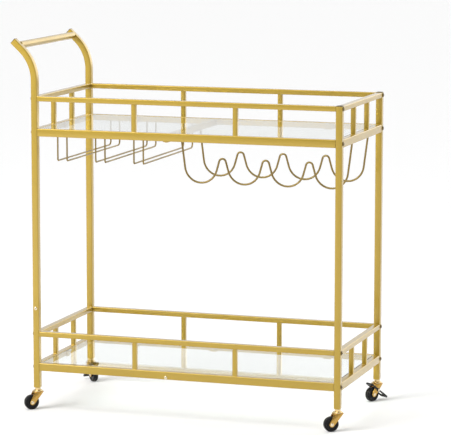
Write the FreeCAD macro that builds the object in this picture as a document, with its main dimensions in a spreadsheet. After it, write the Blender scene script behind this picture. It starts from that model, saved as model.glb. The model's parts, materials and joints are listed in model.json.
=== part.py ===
import FreeCAD, Part
import os
from math import radians
import Sketcher
from FreeCAD import Placement, Rotation, Vector

# Bar cart on swivel casters: four square posts, two guarded glass shelves,
# a stemware rack and a bottle rack under the upper shelf, and a push bar.
# Millimetres. +Z up, the floor at Z = 0, the front towards -Y and the push bar
# towards -X. The origin lies on the floor at the middle of the overall length.

SIZES = [
    ("post_span", 800, "left to right, between post axes"),
    ("post_depth", 375, "front to rear, between post axes"),
    ("tube_side", 16.5, "outside of the square tube"),
    ("tube_wall", 1.2, "wall of every tube"),
    ("tube_corner", 1.8, "outside corner radius of every tube"),
    ("least_corner", 0.3, "smallest inside corner radius"),
    ("middle_offset", 10, "what a brake pedal adds to the right of the posts, halved"),
    ("caster_head", 19, "top of a caster wheel to the post ends"),
    ("lower_level", 44, "post end to the underside of the lower shelf rails"),
    ("upper_level", 648, "post end to the underside of the upper shelf rails"),
    ("rail_tall", 20, "height of the shelf rails"),
    ("guard_tall", 13, "height of the guard rails"),
    ("guard_top", 102, "underside of a shelf rail to the top of its guard rail"),
    ("baluster_side", 12, "outside of the balusters"),
    ("seam_above", 44, "lower guard rail to the joint in the handle-side posts"),
    ("sleeve_long", 76, "inner sleeve of that joint"),
    ("sleeve_wall", 1.5, "wall of the sleeve"),
    ("sleeve_gap", 0.1, "sleeve and plugs to the inside of a tube"),
    ("seam_screw", 16, "joint to its screw"),
    ("bend_above", 39, "upper guard rail to the start of the handle bend"),
    ("bend_radius", 106, "handle bend, on the tube's axis"),
    ("bend_turn", 47, "angle of the handle bend"),
    ("bend_tail", 31, "straight tube past the bend"),
    ("grip_back", 16, "push bar axis to the ends of the bent posts"),
    ("grip_round", 19, "diameter of the push bar"),
    ("glass_thick", 5, "shelf glass"),
    ("glass_gap", 1, "glass edge to the rails"),
    ("glass_drop", 0.5, "glass top below the rails' top"),
    ("pad_thick", 1.5, "clear pads under the glass"),
    ("pad_round", 9, "diameter of the pads"),
    ("pad_shift", 1, "pads past the middle of their brackets"),
    ("tab_thick", 2, "brackets that carry the pads"),
    ("tab_wide", 20, "width of a bracket"),
    ("tab_deep", 14, "reach of a bracket"),
    ("tab_leg", 15, "leg of a bracket, down the rail"),
    ("crossbar_left", 48, "crossbar axis left of the middle"),
    ("ear_deep", 14, "crossbar ears under the long rails"),
    ("wire_round", 4, "stemware wire"),
    ("stem_slot", 25, "the two wires of a pair, axis to axis"),
    ("stem_pitch", 102.5, "from pair to pair"),
    ("stem_drop", 60, "rail underside to the stemware wire axis"),
    ("stem_front_bend", 5, "front bend of a stemware wire"),
    ("stem_rear_bend", 11, "rear bend of a stemware wire"),
    ("bottle_wire", 5, "bottle rack wire"),
    ("cradle_margin", 9.7, "outer cradle bends to the ends of the bottle wires"),
    ("bottle_wires_apart", 148, "front to rear bottle wire"),
    ("cradle_radius", 43, "cradle bend, on the wire axis"),
    ("crest_radius", 9, "bend between two cradles"),
    ("cradle_drop", 114, "rail underside to the lowest wire axis"),
    ("crest_rise", 63, "lowest to highest wire axis"),
    ("weld_gap", 0.7, "slanting end of a bottle wire to the end rail"),
    ("bolt_shank", 6, "frame bolts"),
    ("bolt_head", 10.5, "their heads"),
    ("head_tall", 3, "height of those heads"),
    ("bolt_bite", 13, "length of a bolt inside its rail plug"),
    ("screw_shank", 4, "pan head screws"),
    ("screw_head", 8.5, "their heads"),
    ("screw_head_tall", 2.2, "height of those heads"),
    ("screw_past", 3, "screw ends past the last wall they hold"),
    ("hole_play", 0.1, "extra diameter of a hole over its shank"),
    ("plug_long", 18, "threaded plugs in the rail ends"),
    ("cap_deep", 3, "plastic caps in the post ends"),
    ("wheel_round", 38, "caster wheel"),
    ("wheel_wide", 14, "width of the tread"),
    ("wheel_corner", 3.6, "rounding of the tread"),
    ("wheel_dish", 1.6, "depth of the ring in each wheel face"),
    ("wheel_slope", 1.2, "slopes at both edges of that ring"),
    ("wheel_land", 1.4, "flat between that ring and the rounding of the tread"),
    ("tread_flat", 0.5, "least flat of the tread, halved"),
    ("axle_round", 5, "wheel axle"),
    ("axle_head", 8.6, "axle heads"),
    ("axle_head_tall", 1.8, "height of an axle head"),
    ("run_play", 0.1, "extra diameter of a running bore"),
    ("side_play", 0.3, "end clearance between moving pieces"),
    ("trail", 17, "swivel axis to wheel axis"),
    ("cheek_gap", 1, "tread to each fork cheek"),
    ("fork_cheek", 2, "fork metal"),
    ("fork_front", 13, "cheek ahead of the swivel axis"),
    ("fork_back", 11, "cheek behind the swivel axis"),
    ("fork_eye", 6.6, "radius of the cheek about the axle"),
    ("swivel_round", 30, "swivel plate of the fork"),
    ("swivel_thick", 2.5, "thickness of that plate"),
    ("cup_round", 25, "race cup on the stem"),
    ("cup_tall", 4.2, "height of the race cup"),
    ("cup_rim", 1.7, "straight edge of the race cup"),
    ("collar_inset", 0.75, "post face to the collar between the cup and the post"),
    ("collar_tall", 6, "height of the collar"),
    ("stem_round", 8, "caster stem"),
    ("stem_head", 13, "riveted head under the fork"),
    ("stem_head_tall", 2, "height of that head"),
    ("socket_long", 26, "stem socket inside a post"),
    ("stem_short", 4, "stem end below the top of its socket"),
    ("turn_left_front", 40, "swivel angle of each fork at rest"),
    ("turn_right_front", 33, ""),
    ("turn_right_rear", 57, ""),
    ("turn_left_rear", 135, ""),
    ("shoe_back", 28, "brake shoe behind the swivel axis"),
    ("shoe_below", 9, "brake shoe below the post end"),
    ("pedal_front", 27, "brake pedal ahead of the swivel axis"),
    ("pedal_level", 7, "brake pedal above the floor"),
    ("brake_pivot", 4, "brake pivot behind the swivel axis"),
    ("brake_tall", 4.6, "height of a brake arm"),
    ("brake_arm", 1.6, "thickness of a brake arm"),
    ("brake_bridge", 6, "length of the shoe and of the pedal"),
    ("brake_boss", 4.6, "radius of the brake's pivot eye"),
    ("brake_pin", 4, "brake pivot rivets"),
    ("brake_pin_head", 7, "heads of those rivets"),
    ("brake_pin_head_tall", 1.4, "height of those heads"),
]

doc = FreeCAD.newDocument("bar_cart")
sheet = doc.addObject("Spreadsheet::Sheet", "dims")
for row, (alias, amount, meaning) in enumerate(SIZES, start=1):
    sheet.set(f"A{row}", meaning or alias.replace("_", " "))
    sheet.set(f"B{row}", str(amount))
    sheet.setAlias(f"B{row}", alias)
doc.recompute()

# Lengths that follow from the driving dimensions, as expressions on the sheet.
half_span = "dims.post_span / 2"
half_depth = "dims.post_depth / 2"
half_tube = "dims.tube_side / 2"
bore_side = "(dims.tube_side - 2 * dims.tube_wall)"
inner_corner = "max(dims.tube_corner - dims.tube_wall; dims.least_corner)"
run_x = "(dims.post_span - dims.tube_side)"
run_y = "(dims.post_depth - dims.tube_side)"
bend_cos = "cos(dims.bend_turn * 1 deg)"
bend_sin = "sin(dims.bend_turn * 1 deg)"
reach = f"(dims.bend_radius * (1 - {bend_cos}) + dims.bend_tail * {bend_sin})"
rise = f"(dims.bend_radius * {bend_sin} + dims.bend_tail * {bend_cos})"
middle = f"({reach} / 2 - dims.middle_offset)"
caster_tall = "(dims.wheel_round + dims.caster_head)"
swivel_top = f"({caster_tall} - dims.collar_tall - dims.cup_tall - dims.side_play)"
swivel_under = f"({swivel_top} - dims.swivel_thick)"
fork_gap = "(dims.wheel_wide + 2 * dims.cheek_gap)"
fork_wide = f"({fork_gap} + 2 * dims.fork_cheek)"
wheel_radius = "dims.wheel_round / 2"
levels = {"lower": "dims.lower_level", "upper": "dims.upper_level"}
sides = {"front": "-", "rear": ""}
ends = {"left": "-", "right": ""}


def number(expression):
    """The present value of an expression on the sheet."""
    return float(sheet.evalExpression(expression))


def place(piece, x="0", y="0", z="0", turn=None, axis=(0, 0, 1)):
    """Bind a piece's Placement, with x counted from the middle of the four posts."""
    piece.Placement = Placement(Vector(), Rotation(Vector(*axis), 1 if turn else 0))
    piece.setExpression("Placement.Base.x", f"{x} + {middle}")
    piece.setExpression("Placement.Base.y", y)
    piece.setExpression("Placement.Base.z", z)
    if turn:
        piece.setExpression("Placement.Rotation.Angle", turn)


def new_body(name):
    body = doc.addObject("PartDesign::Body", name)
    body.Label = name
    return body


def new_sketch(body, role, offset=None):
    plane = next(item for item in body.Origin.OriginFeatures if item.Role == role)
    sketch = body.newObject("Sketcher::SketchObject", f"{body.Name}_sketch")
    sketch.AttachmentSupport = [(plane, "")]
    sketch.MapMode = "FlatFace"
    if offset:
        sketch.setExpression("AttachmentOffset.Base.z", offset)
    return sketch


def bound(sketch, constraint, expression):
    index = sketch.addConstraint(constraint)
    sketch.setExpression(f"Constraints[{index}]", expression)


def fix_point(sketch, item, end, x, y):
    """Bind one point of a sketch to two expressions."""
    for kind, expression in (("DistanceX", x), ("DistanceY", y)):
        amount = number(expression)
        if abs(amount) < 1e-9:
            axis = -2 if kind == "DistanceX" else -1
            sketch.addConstraint(Sketcher.Constraint("PointOnObject", item, end, axis))
        elif amount > 0:
            rule = Sketcher.Constraint(kind, -1, 1, item, end, amount)
            bound(sketch, rule, expression)
        else:
            rule = Sketcher.Constraint(kind, item, end, -1, 1, -amount)
            bound(sketch, rule, f"-({expression})")


def draw_circle(sketch, radius, x="0", y="0"):
    centre = Vector(number(x), number(y), 0)
    amount = number(radius)
    item = sketch.addGeometry(Part.Circle(centre, Vector(0, 0, 1), amount), False)
    fix_point(sketch, item, 3, x, y)
    bound(sketch, Sketcher.Constraint("Radius", item, amount), radius)


def draw_outline(sketch, points):
    """A closed outline of straight lines through bound points."""
    spots = [Vector(number(x), number(y), 0) for x, y in points]
    first = sketch.GeometryCount
    count = len(spots)
    for i in range(count):
        sketch.addGeometry(Part.LineSegment(spots[i], spots[(i + 1) % count]), False)
    for i in range(count):
        joint = (first + i, 2, first + (i + 1) % count, 1)
        sketch.addConstraint(Sketcher.Constraint("Coincident", *joint))
        fix_point(sketch, first + i, 1, *points[i])


def draw_round_rectangle(sketch, wide, tall, corner):
    """A centred rectangle with rounded corners."""
    w, t, r = number(wide) / 2, number(tall) / 2, number(corner)
    up = Vector(0, 0, 1)
    first = sketch.GeometryCount
    a, b = w - r, t - r
    rounds = [(a, -b, -90), (a, b, 0), (-a, b, 90), (-a, -b, 180)]
    lines = [(-a, -t, a, -t), (w, -b, w, b), (a, t, -a, t), (-w, b, -w, -b)]
    for (x1, y1, x2, y2), (cx, cy, start) in zip(lines, rounds):
        sketch.addGeometry(Part.LineSegment(Vector(x1, y1, 0), Vector(x2, y2, 0)), False)
        circle = Part.Circle(Vector(cx, cy, 0), up, r)
        sketch.addGeometry(Part.ArcOfCircle(circle, radians(start), radians(start + 90)), False)
    for i in range(8):
        joint = (first + i, 2, first + (i + 1) % 8, 1)
        sketch.addConstraint(Sketcher.Constraint("Tangent", *joint))
    for i in (0, 4):
        sketch.addConstraint(Sketcher.Constraint("Horizontal", first + i))
        sketch.addConstraint(Sketcher.Constraint("Vertical", first + i + 2))
    for i in (3, 5, 7):
        sketch.addConstraint(Sketcher.Constraint("Equal", first + 1, first + i))
    bound(sketch, Sketcher.Constraint("Radius", first + 1, r), corner)
    bound(sketch, Sketcher.Constraint("DistanceX", -1, 1, first + 2, 1, w), f"{wide} / 2")
    bound(sketch, Sketcher.Constraint("DistanceX", first + 6, 1, -1, 1, w), f"{wide} / 2")
    bound(sketch, Sketcher.Constraint("DistanceY", -1, 1, first + 4, 1, t), f"{tall} / 2")
    bound(sketch, Sketcher.Constraint("DistanceY", first, 1, -1, 1, t), f"{tall} / 2")


def draw_tube(sketch, wide, tall):
    """The section of a rectangular tube."""
    draw_round_rectangle(sketch, wide, tall, "dims.tube_corner")
    inner = [f"({size} - 2 * dims.tube_wall)" for size in (wide, tall)]
    draw_round_rectangle(sketch, inner[0], inner[1], inner_corner)


def pad(body, sketch, length, centred=True):
    feature = body.newObject("PartDesign::Pad", f"{body.Name}_pad")
    feature.Profile = sketch
    feature.Midplane = centred
    feature.setExpression("Length", length)
    return feature


def pocket_through(body, sketch):
    feature = body.newObject("PartDesign::Pocket", f"{body.Name}_pocket")
    feature.Profile = sketch
    feature.Midplane = True
    feature.Type = "ThroughAll"
    return feature


def drill(body, role, spots, shank):
    """Holes of a shank's diameter and its play, right through, square to an origin plane."""
    sketch = new_sketch(body, role)
    for x, y in spots:
        draw_circle(sketch, f"({shank} + dims.hole_play) / 2", x, y)
    pocket_through(body, sketch)


def revolve(body, points, axis):
    """A solid of revolution from an outline on the XZ plane, or on YZ about +Y."""
    sketch = new_sketch(body, "XZ_Plane" if axis == "V_Axis" else "YZ_Plane")
    draw_outline(sketch, points)
    feature = body.newObject("PartDesign::Revolution", f"{body.Name}_turned")
    feature.Profile = sketch
    feature.ReferenceAxis = (sketch, [axis])
    feature.Angle = 360
    return feature


def sweep(body, profile, path):
    feature = body.newObject("PartDesign::AdditivePipe", f"{body.Name}_pipe")
    feature.Profile = profile
    feature.Spine = (path, [f"Edge{i + 1}" for i in range(path.GeometryCount)])
    return feature


def group(name, pieces):
    """One node of separate solids."""
    node = doc.addObject("Part::Compound", name)
    node.Label = name
    node.Links = pieces
    return node


nodes = []


def keep(node):
    nodes.append(node)
    return node


# Posts. Each body starts at the post's lower end.
rail_axis = {name: f"({level} + dims.rail_tall / 2)" for name, level in levels.items()}
guard_axis = {
    name: f"({level} + dims.guard_top - dims.guard_tall / 2)" for name, level in levels.items()
}
post_end = "(dims.upper_level + dims.guard_top)"
seam_level = "(dims.lower_level + dims.guard_top + dims.seam_above)"
screw_level = f"({seam_level} + dims.seam_screw)"
bend_level = f"({post_end} + dims.bend_above)"


def straight_post(name, length, bolt_levels):
    body = new_body(name)
    sketch = new_sketch(body, "XY_Plane")
    draw_tube(sketch, "dims.tube_side", "dims.tube_side")
    pad(body, sketch, length, centred=False)
    drill(body, "YZ_Plane", [("0", level) for level in bolt_levels], "dims.bolt_shank")
    return body


def draw_handle_path(sketch, start):
    """Straight up, round the bend towards -X, and the straight tail."""
    z0 = number(bend_level)
    radius = number("dims.bend_radius")
    x2, z2 = -number(reach), z0 + number(rise)
    slope = Vector(-number(bend_sin), number(bend_cos), 0)
    joint = Vector(x2, z2, 0) - slope * number("dims.bend_tail")
    circle = Part.Circle(Vector(-radius, z0, 0), Vector(0, 0, 1), radius)
    sketch.addGeometry(Part.LineSegment(Vector(0, number(start), 0), Vector(0, z0, 0)), False)
    sketch.addGeometry(Part.ArcOfCircle(circle, 0, radians(number("dims.bend_turn"))), False)
    sketch.addGeometry(Part.LineSegment(joint, Vector(x2, z2, 0)), False)
    sketch.addConstraint(Sketcher.Constraint("Tangent", 0, 2, 1, 1))
    sketch.addConstraint(Sketcher.Constraint("Tangent", 1, 2, 2, 1))
    fix_point(sketch, 0, 1, "0", start)
    sketch.addConstraint(Sketcher.Constraint("PointOnObject", 0, 2, -2))
    bound(sketch, Sketcher.Constraint("DistanceY", -1, 1, 0, 2, z0), bend_level)
    bound(sketch, Sketcher.Constraint("Radius", 1, radius), "dims.bend_radius")
    fix_point(sketch, 2, 2, f"-{reach}", f"{bend_level} + {rise}")


def bent_post(name):
    body = new_body(name)
    profile = new_sketch(body, "XY_Plane", seam_level)
    draw_tube(profile, "dims.tube_side", "dims.tube_side")
    path = new_sketch(body, "XZ_Plane")
    draw_handle_path(path, seam_level)
    sweep(body, profile, path)
    spots = [("0", rail_axis["upper"]), ("0", guard_axis["upper"])]
    drill(body, "YZ_Plane", spots, "dims.bolt_shank")
    drill(body, "XZ_Plane", [("0", screw_level)], "dims.screw_shank")
    return body


all_levels = [axis[name] for name in levels for axis in (rail_axis, guard_axis)]
for side, sign in sides.items():
    y = f"{sign}{half_depth}"
    post = keep(straight_post(f"right_{side}_post", post_end, all_levels))
    place(post, half_span, y, caster_tall)
    low = [rail_axis["lower"], guard_axis["lower"]]
    post = keep(straight_post(f"left_{side}_lower_post", seam_level, low))
    place(post, f"-{half_span}", y, caster_tall)
    post = keep(bent_post(f"left_{side}_handle_post"))
    place(post, f"-{half_span}", y, caster_tall)

sleeves = []
for side, sign in sides.items():
    body = new_body(f"sleeve_{side}")
    sketch = new_sketch(body, "XY_Plane")
    outer = f"({bore_side} - 2 * dims.sleeve_gap)"
    inner = f"({outer} - 2 * dims.sleeve_wall)"
    draw_round_rectangle(sketch, outer, outer, inner_corner)
    draw_round_rectangle(sketch, inner, inner, inner_corner)
    pad(body, sketch, "dims.sleeve_long")
    drill(body, "XZ_Plane", [("0", "dims.seam_screw")], "dims.screw_shank")
    place(body, f"-{half_span}", f"{sign}{half_depth}", f"{caster_tall} + {seam_level}")
    sleeves.append(body)
keep(group("post_sleeves", sleeves))

# Push bar, welded between the two bent posts.
push_bar = keep(new_body("push_bar"))
ring = new_sketch(push_bar, "XZ_Plane")
draw_circle(ring, "dims.grip_round / 2")
draw_circle(ring, "dims.grip_round / 2 - dims.tube_wall")
pad(push_bar, ring, run_y)
grip_x = f"(-{half_span} - {reach} + dims.grip_back * {bend_sin})"
grip_z = f"({caster_tall} + {bend_level} + {rise} - dims.grip_back * {bend_cos})"
place(push_bar, grip_x, "0", grip_z)


# Shelf rails and guard rails: long ones along X, end ones along Y.
def straight_tube(name, role, wide, tall, length):
    body = new_body(name)
    sketch = new_sketch(body, role)
    draw_tube(sketch, wide, tall)
    pad(body, sketch, length)
    return body


bracket_under = "(dims.glass_drop + dims.glass_thick + dims.pad_thick)"
bracket_screw = f"({bracket_under} + dims.tab_leg / 2 - dims.rail_tall / 2)"
for shelf, level in levels.items():
    rows = (
        ("rail", "dims.rail_tall", rail_axis[shelf]),
        ("guard", "dims.guard_tall", guard_axis[shelf]),
    )
    for kind, tall, axis in rows:
        z = f"{caster_tall} + {axis}"
        for side, sign in sides.items():
            name = f"{shelf}_{side}_{kind}"
            rail = keep(straight_tube(name, "YZ_Plane", "dims.tube_side", tall, run_x))
            place(rail, "0", f"{sign}{half_depth}", z)
            if (shelf, kind) == ("lower", "rail"):
                spot = [("-dims.crossbar_left", f"-{bracket_screw}")]
                drill(rail, "XZ_Plane", spot, "dims.screw_shank")
            if (shelf, kind) == ("upper", "rail"):
                drill(rail, "XY_Plane", [("-dims.crossbar_left", "0")], "dims.screw_shank")
        for end, sign in ends.items():
            name = f"{shelf}_{end}_{kind}"
            rail = keep(straight_tube(name, "XZ_Plane", "dims.tube_side", tall, run_y))
            place(rail, f"{sign}{half_span}", "0", z)

# Balusters, at the thirds of each guarded side.
baluster_long = "(dims.guard_top - dims.rail_tall - dims.guard_tall)"
third_x = "dims.post_span / 6"
third_y = "dims.post_depth / 6"
for shelf, level in levels.items():
    spots = {}
    for side, sign in sides.items():
        for end, way in ends.items():
            spots[f"{side}_{end}"] = (f"{way}{third_x}", f"{sign}{half_depth}")
            spots[f"{end}_{side}"] = (f"{way}{half_span}", f"{sign}{third_y}")
    for along in ("long", "end"):
        bars = []
        for spot, (x, y) in spots.items():
            if (spot.split("_")[0] in sides) != (along == "long"):
                continue
            name = f"{shelf}_baluster_{spot}"
            size = "dims.baluster_side"
            bar = straight_tube(name, "XY_Plane", size, size, baluster_long)
            middle_z = f"{caster_tall} + {level} + dims.rail_tall + {baluster_long} / 2"
            place(bar, x, y, middle_z)
            bars.append(bar)
        keep(group(f"{shelf}_{along}_balusters", bars))

# Glass shelves, on clear pads, on brackets inside the rails.
glass_x = f"({run_x} - 2 * dims.glass_gap)"
glass_y = f"({run_y} - 2 * dims.glass_gap)"
brackets, pads = [], []
for shelf, level in levels.items():
    glass = doc.addObject("Part::Box", f"{shelf}_glass")
    glass.Label = f"{shelf}_glass"
    glass.setExpression("Length", glass_x)
    glass.setExpression("Width", glass_y)
    glass.setExpression("Height", "dims.glass_thick")
    glass_top = f"({caster_tall} + {level} + dims.rail_tall - dims.glass_drop)"
    place(glass, f"-{glass_x} / 2", f"-{glass_y} / 2", f"{glass_top} - dims.glass_thick")
    keep(glass)

    bracket_top = f"({caster_tall} + {level} + dims.rail_tall - {bracket_under})"
    inner_x = f"({half_span} - {half_tube})"
    inner_y = f"({half_depth} - {half_tube})"
    spots = []
    for way in ("-", ""):
        spots.append((f"{way}{inner_x}", "0", "0" if way else "180"))
        for x in ("-dims.post_span / 3", "dims.post_span / 3"):
            spots.append((x, f"{way}{inner_y}", "90" if way else "270"))
        if shelf == "lower":
            spots.append(("-dims.crossbar_left", f"{way}{inner_y}", "90" if way else "270"))
    for index, (x, y, turn) in enumerate(spots):
        body = new_body(f"{shelf}_bracket_{index + 1}")
        sketch = new_sketch(body, "XZ_Plane")
        outline = [
            ("0", "0"),
            ("0", "-dims.tab_leg"),
            ("dims.tab_thick", "-dims.tab_leg"),
            ("dims.tab_thick", "-dims.tab_thick"),
            ("dims.tab_deep", "-dims.tab_thick"),
            ("dims.tab_deep", "0"),
        ]
        draw_outline(sketch, outline)
        pad(body, sketch, "dims.tab_wide")
        if shelf == "lower" and x == "-dims.crossbar_left":
            drill(body, "YZ_Plane", [("0", "-dims.tab_leg / 2")], "dims.screw_shank")
        place(body, x, y, bracket_top, turn=turn)
        brackets.append(body)
        disc = doc.addObject("Part::Cylinder", f"{shelf}_pad_{index + 1}")
        disc.setExpression("Radius", "dims.pad_round / 2")
        disc.setExpression("Height", "dims.pad_thick")
        inset = "(dims.tab_deep / 2 + dims.pad_shift)"
        along_x = {"0": f"{x} + {inset}", "180": f"{x} - {inset}"}.get(turn, x)
        along_y = {"90": f"{y} + {inset}", "270": f"{y} - {inset}"}.get(turn, y)
        place(disc, along_x, along_y, bracket_top)
        pads.append(disc)
keep(group("glass_brackets", brackets))
keep(group("glass_pads", pads))

# Rack crossbar, with an ear at each end under the long rails.
crossbar = keep(new_body("rack_crossbar"))
section = new_sketch(crossbar, "XZ_Plane")
draw_tube(section, "dims.tube_side", "dims.guard_tall")
pad(crossbar, section, run_y)
ears = new_sketch(crossbar, "XY_Plane", "-dims.guard_tall / 2")
ear_end = f"({run_y} / 2 + dims.ear_deep)"
draw_outline(
    ears,
    [
        (f"-{half_tube}", f"-{ear_end}"),
        (half_tube, f"-{ear_end}"),
        (half_tube, ear_end),
        (f"-{half_tube}", ear_end),
    ],
)
strap = pad(crossbar, ears, "dims.tab_thick", centred=False)
strap.Reversed = True
drill(crossbar, "XY_Plane", [("0", half_depth), ("0", f"-{half_depth}")], "dims.screw_shank")
crossbar_under = f"({caster_tall} + dims.upper_level)"
place(crossbar, "-dims.crossbar_left", "0", f"{crossbar_under} + dims.guard_tall / 2")

# Stemware rack: three pairs of wires hung from the long rails.
bay_left = f"(-({half_span} + dims.crossbar_left) / 2)"


def stem_wire(name, x):
    """A wire down from the front rail, back under the shelf and up to the rear rail."""
    body = new_body(name)
    front, rear = number("dims.stem_front_bend"), number("dims.stem_rear_bend")
    half, drop = number(half_depth), number("dims.stem_drop")
    path = new_sketch(body, "YZ_Plane")
    up, quarter = Vector(0, 0, 1), radians(90)
    spots = [(-half, 0), (-half, front - drop), (front - half, -drop)]
    spots += [(half - rear, -drop), (half, rear - drop), (half, 0)]
    p = [Vector(a, b, 0) for a, b in spots]
    bend_front = Part.Circle(Vector(front - half, front - drop, 0), up, front)
    bend_rear = Part.Circle(Vector(half - rear, rear - drop, 0), up, rear)
    path.addGeometry(Part.LineSegment(p[0], p[1]), False)
    path.addGeometry(Part.ArcOfCircle(bend_front, 2 * quarter, 3 * quarter), False)
    path.addGeometry(Part.LineSegment(p[2], p[3]), False)
    path.addGeometry(Part.ArcOfCircle(bend_rear, 3 * quarter, 4 * quarter), False)
    path.addGeometry(Part.LineSegment(p[4], p[5]), False)
    for i in range(4):
        path.addConstraint(Sketcher.Constraint("Tangent", i, 2, i + 1, 1))
    path.addConstraint(Sketcher.Constraint("Vertical", 0))
    path.addConstraint(Sketcher.Constraint("Horizontal", 2))
    path.addConstraint(Sketcher.Constraint("Vertical", 4))
    fix_point(path, 0, 1, f"-{half_depth}", "0")
    fix_point(path, 4, 2, half_depth, "0")
    bound(path, Sketcher.Constraint("DistanceY", 2, 1, -1, 1, drop), "dims.stem_drop")
    bound(path, Sketcher.Constraint("Radius", 1, front), "dims.stem_front_bend")
    bound(path, Sketcher.Constraint("Radius", 3, rear), "dims.stem_rear_bend")
    section = new_sketch(body, "XY_Plane")
    draw_circle(section, "dims.wire_round / 2", "0", f"-{half_depth}")
    sweep(body, section, path)
    place(body, x, "0", crossbar_under)
    return body


for index, place_name in enumerate(("left", "middle", "right")):
    pair = f"({bay_left} + {index - 1} * dims.stem_pitch)"
    wires = [
        stem_wire(f"{place_name}_stem_wire_a", f"({pair} - dims.stem_slot / 2)"),
        stem_wire(f"{place_name}_stem_wire_b", f"({pair} + dims.stem_slot / 2)"),
    ]
    keep(group(f"{place_name}_stem_wires", wires))

# Bottle rack: two wavy wires, from the crossbar to the right end rail.
bay_right = f"(({half_span} - dims.crossbar_left) / 2)"
half_bay = f"(({half_span} + dims.crossbar_left) / 2)"
cradle_run = f"(2 * ({half_bay} - dims.cradle_radius - dims.cradle_margin))"
least_pitch = "(2 * (dims.cradle_radius + dims.crest_radius))"
steps = max(int(number(cradle_run) / number(least_pitch)), 1)
cradle_z = "(dims.cradle_radius - dims.cradle_drop)"
crest_z = "(dims.crest_rise - dims.cradle_drop - dims.crest_radius)"
right_level = "(dims.tab_thick - dims.weld_gap)"


def tangent_leg(c1, r1, c2, r2, side):
    """Ends of the crossing tangent from one circle to the next, the lower one first."""
    gap = c2 - c1
    length = gap.Length
    unit = gap * (1 / length)
    normal = Vector(unit.y, -unit.x, 0) * side
    lean = (r1 + r2) / length
    flat = (1 - lean * lean) ** 0.5
    away = unit * lean + normal * flat
    return c1 + away * r1, c2 - away * r2


def end_leg(centre, radius, tip, side):
    """The point where a straight leg from a tip touches a circle."""
    gap = tip - centre
    length = gap.Length
    unit = gap * (1 / length)
    normal = Vector(unit.y, -unit.x, 0) * side
    lean = radius / length
    flat = (1 - lean * lean) ** 0.5
    return centre + (unit * lean + normal * flat) * radius


def arc_between(centre, radius, start, finish):
    """The counter-clockwise arc from one point to the other."""
    circle = Part.Circle(centre, Vector(0, 0, 1), radius)
    return Part.ArcOfCircle(circle, circle.parameter(start), circle.parameter(finish))


def bottle_wire(name, y):
    body = new_body(name)
    path = new_sketch(body, "XZ_Plane")
    cradle, crest = number("dims.cradle_radius"), number("dims.crest_radius")
    circles = []
    for i in range(2 * steps + 1):
        x = f"({cradle_run} * {i / (2 * steps) - 0.5})"
        low = i % 2 == 0
        z = cradle_z if low else crest_z
        centre = Vector(number(x), number(z), 0)
        circles.append((x, z, centre, cradle if low else crest, low))
    left_tip = Vector(-number(half_bay), 0, 0)
    right_tip = Vector(number(half_bay), number(right_level), 0)
    legs = []
    for (_, _, c1, r1, low1), (_, _, c2, r2, _) in zip(circles, circles[1:]):
        legs.append(tangent_leg(c1, r1, c2, r2, 1 if low1 else -1))
    first = end_leg(circles[0][2], cradle, left_tip, -1)
    last = end_leg(circles[-1][2], cradle, right_tip, 1)
    legs = [(left_tip, first)] + legs + [(last, right_tip)]
    for i, (_, _, centre, radius, low) in enumerate(circles):
        start, finish = legs[i][1], legs[i + 1][0]
        path.addGeometry(Part.LineSegment(*legs[i]), False)
        turned = (start, finish) if low else (finish, start)
        path.addGeometry(arc_between(centre, radius, *turned), False)
    path.addGeometry(Part.LineSegment(*legs[-1]), False)
    for i, (x, z, _, radius, low) in enumerate(circles):
        item = 2 * i + 1
        entry, leaving = (1, 2) if low else (2, 1)
        path.addConstraint(Sketcher.Constraint("Tangent", item - 1, 2, item, entry))
        path.addConstraint(Sketcher.Constraint("Tangent", item, leaving, item + 1, 1))
        fix_point(path, item, 3, x, z)
        size = "dims.cradle_radius" if low else "dims.crest_radius"
        bound(path, Sketcher.Constraint("Radius", item, radius), size)
    fix_point(path, 0, 1, f"-{half_bay}", "0")
    fix_point(path, 2 * len(circles), 2, half_bay, right_level)
    section = new_sketch(body, "XY_Plane")
    draw_circle(section, "dims.bottle_wire / 2", f"-{half_bay}", "0")
    sweep(body, section, path)
    place(body, bay_right, y, f"{crossbar_under} - dims.tab_thick")
    return body


for side, sign in sides.items():
    keep(bottle_wire(f"{side}_bottle_wire", f"{sign}dims.bottle_wires_apart / 2"))


# Fasteners. Each is turned about its own axis, with the underside of its head at zero.
# A head's dome starts and flattens at these shares of its height and its diameter.
dome_start, dome_flat = 0.45, 0.32


def turned_fastener(name, shank, long, head, tall, spot, turn, axis):
    body = new_body(name)
    outline = [
        ("0", f"-{long}"),
        (f"{shank} / 2", f"-{long}"),
        (f"{shank} / 2", "0"),
        (f"{head} / 2", "0"),
        (f"{head} / 2", f"{tall} * {dome_start}"),
        (f"{head} * {dome_flat}", tall),
        ("0", tall),
    ]
    revolve(body, outline, "V_Axis")
    place(body, *spot, turn=turn, axis=axis)
    return body


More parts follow.
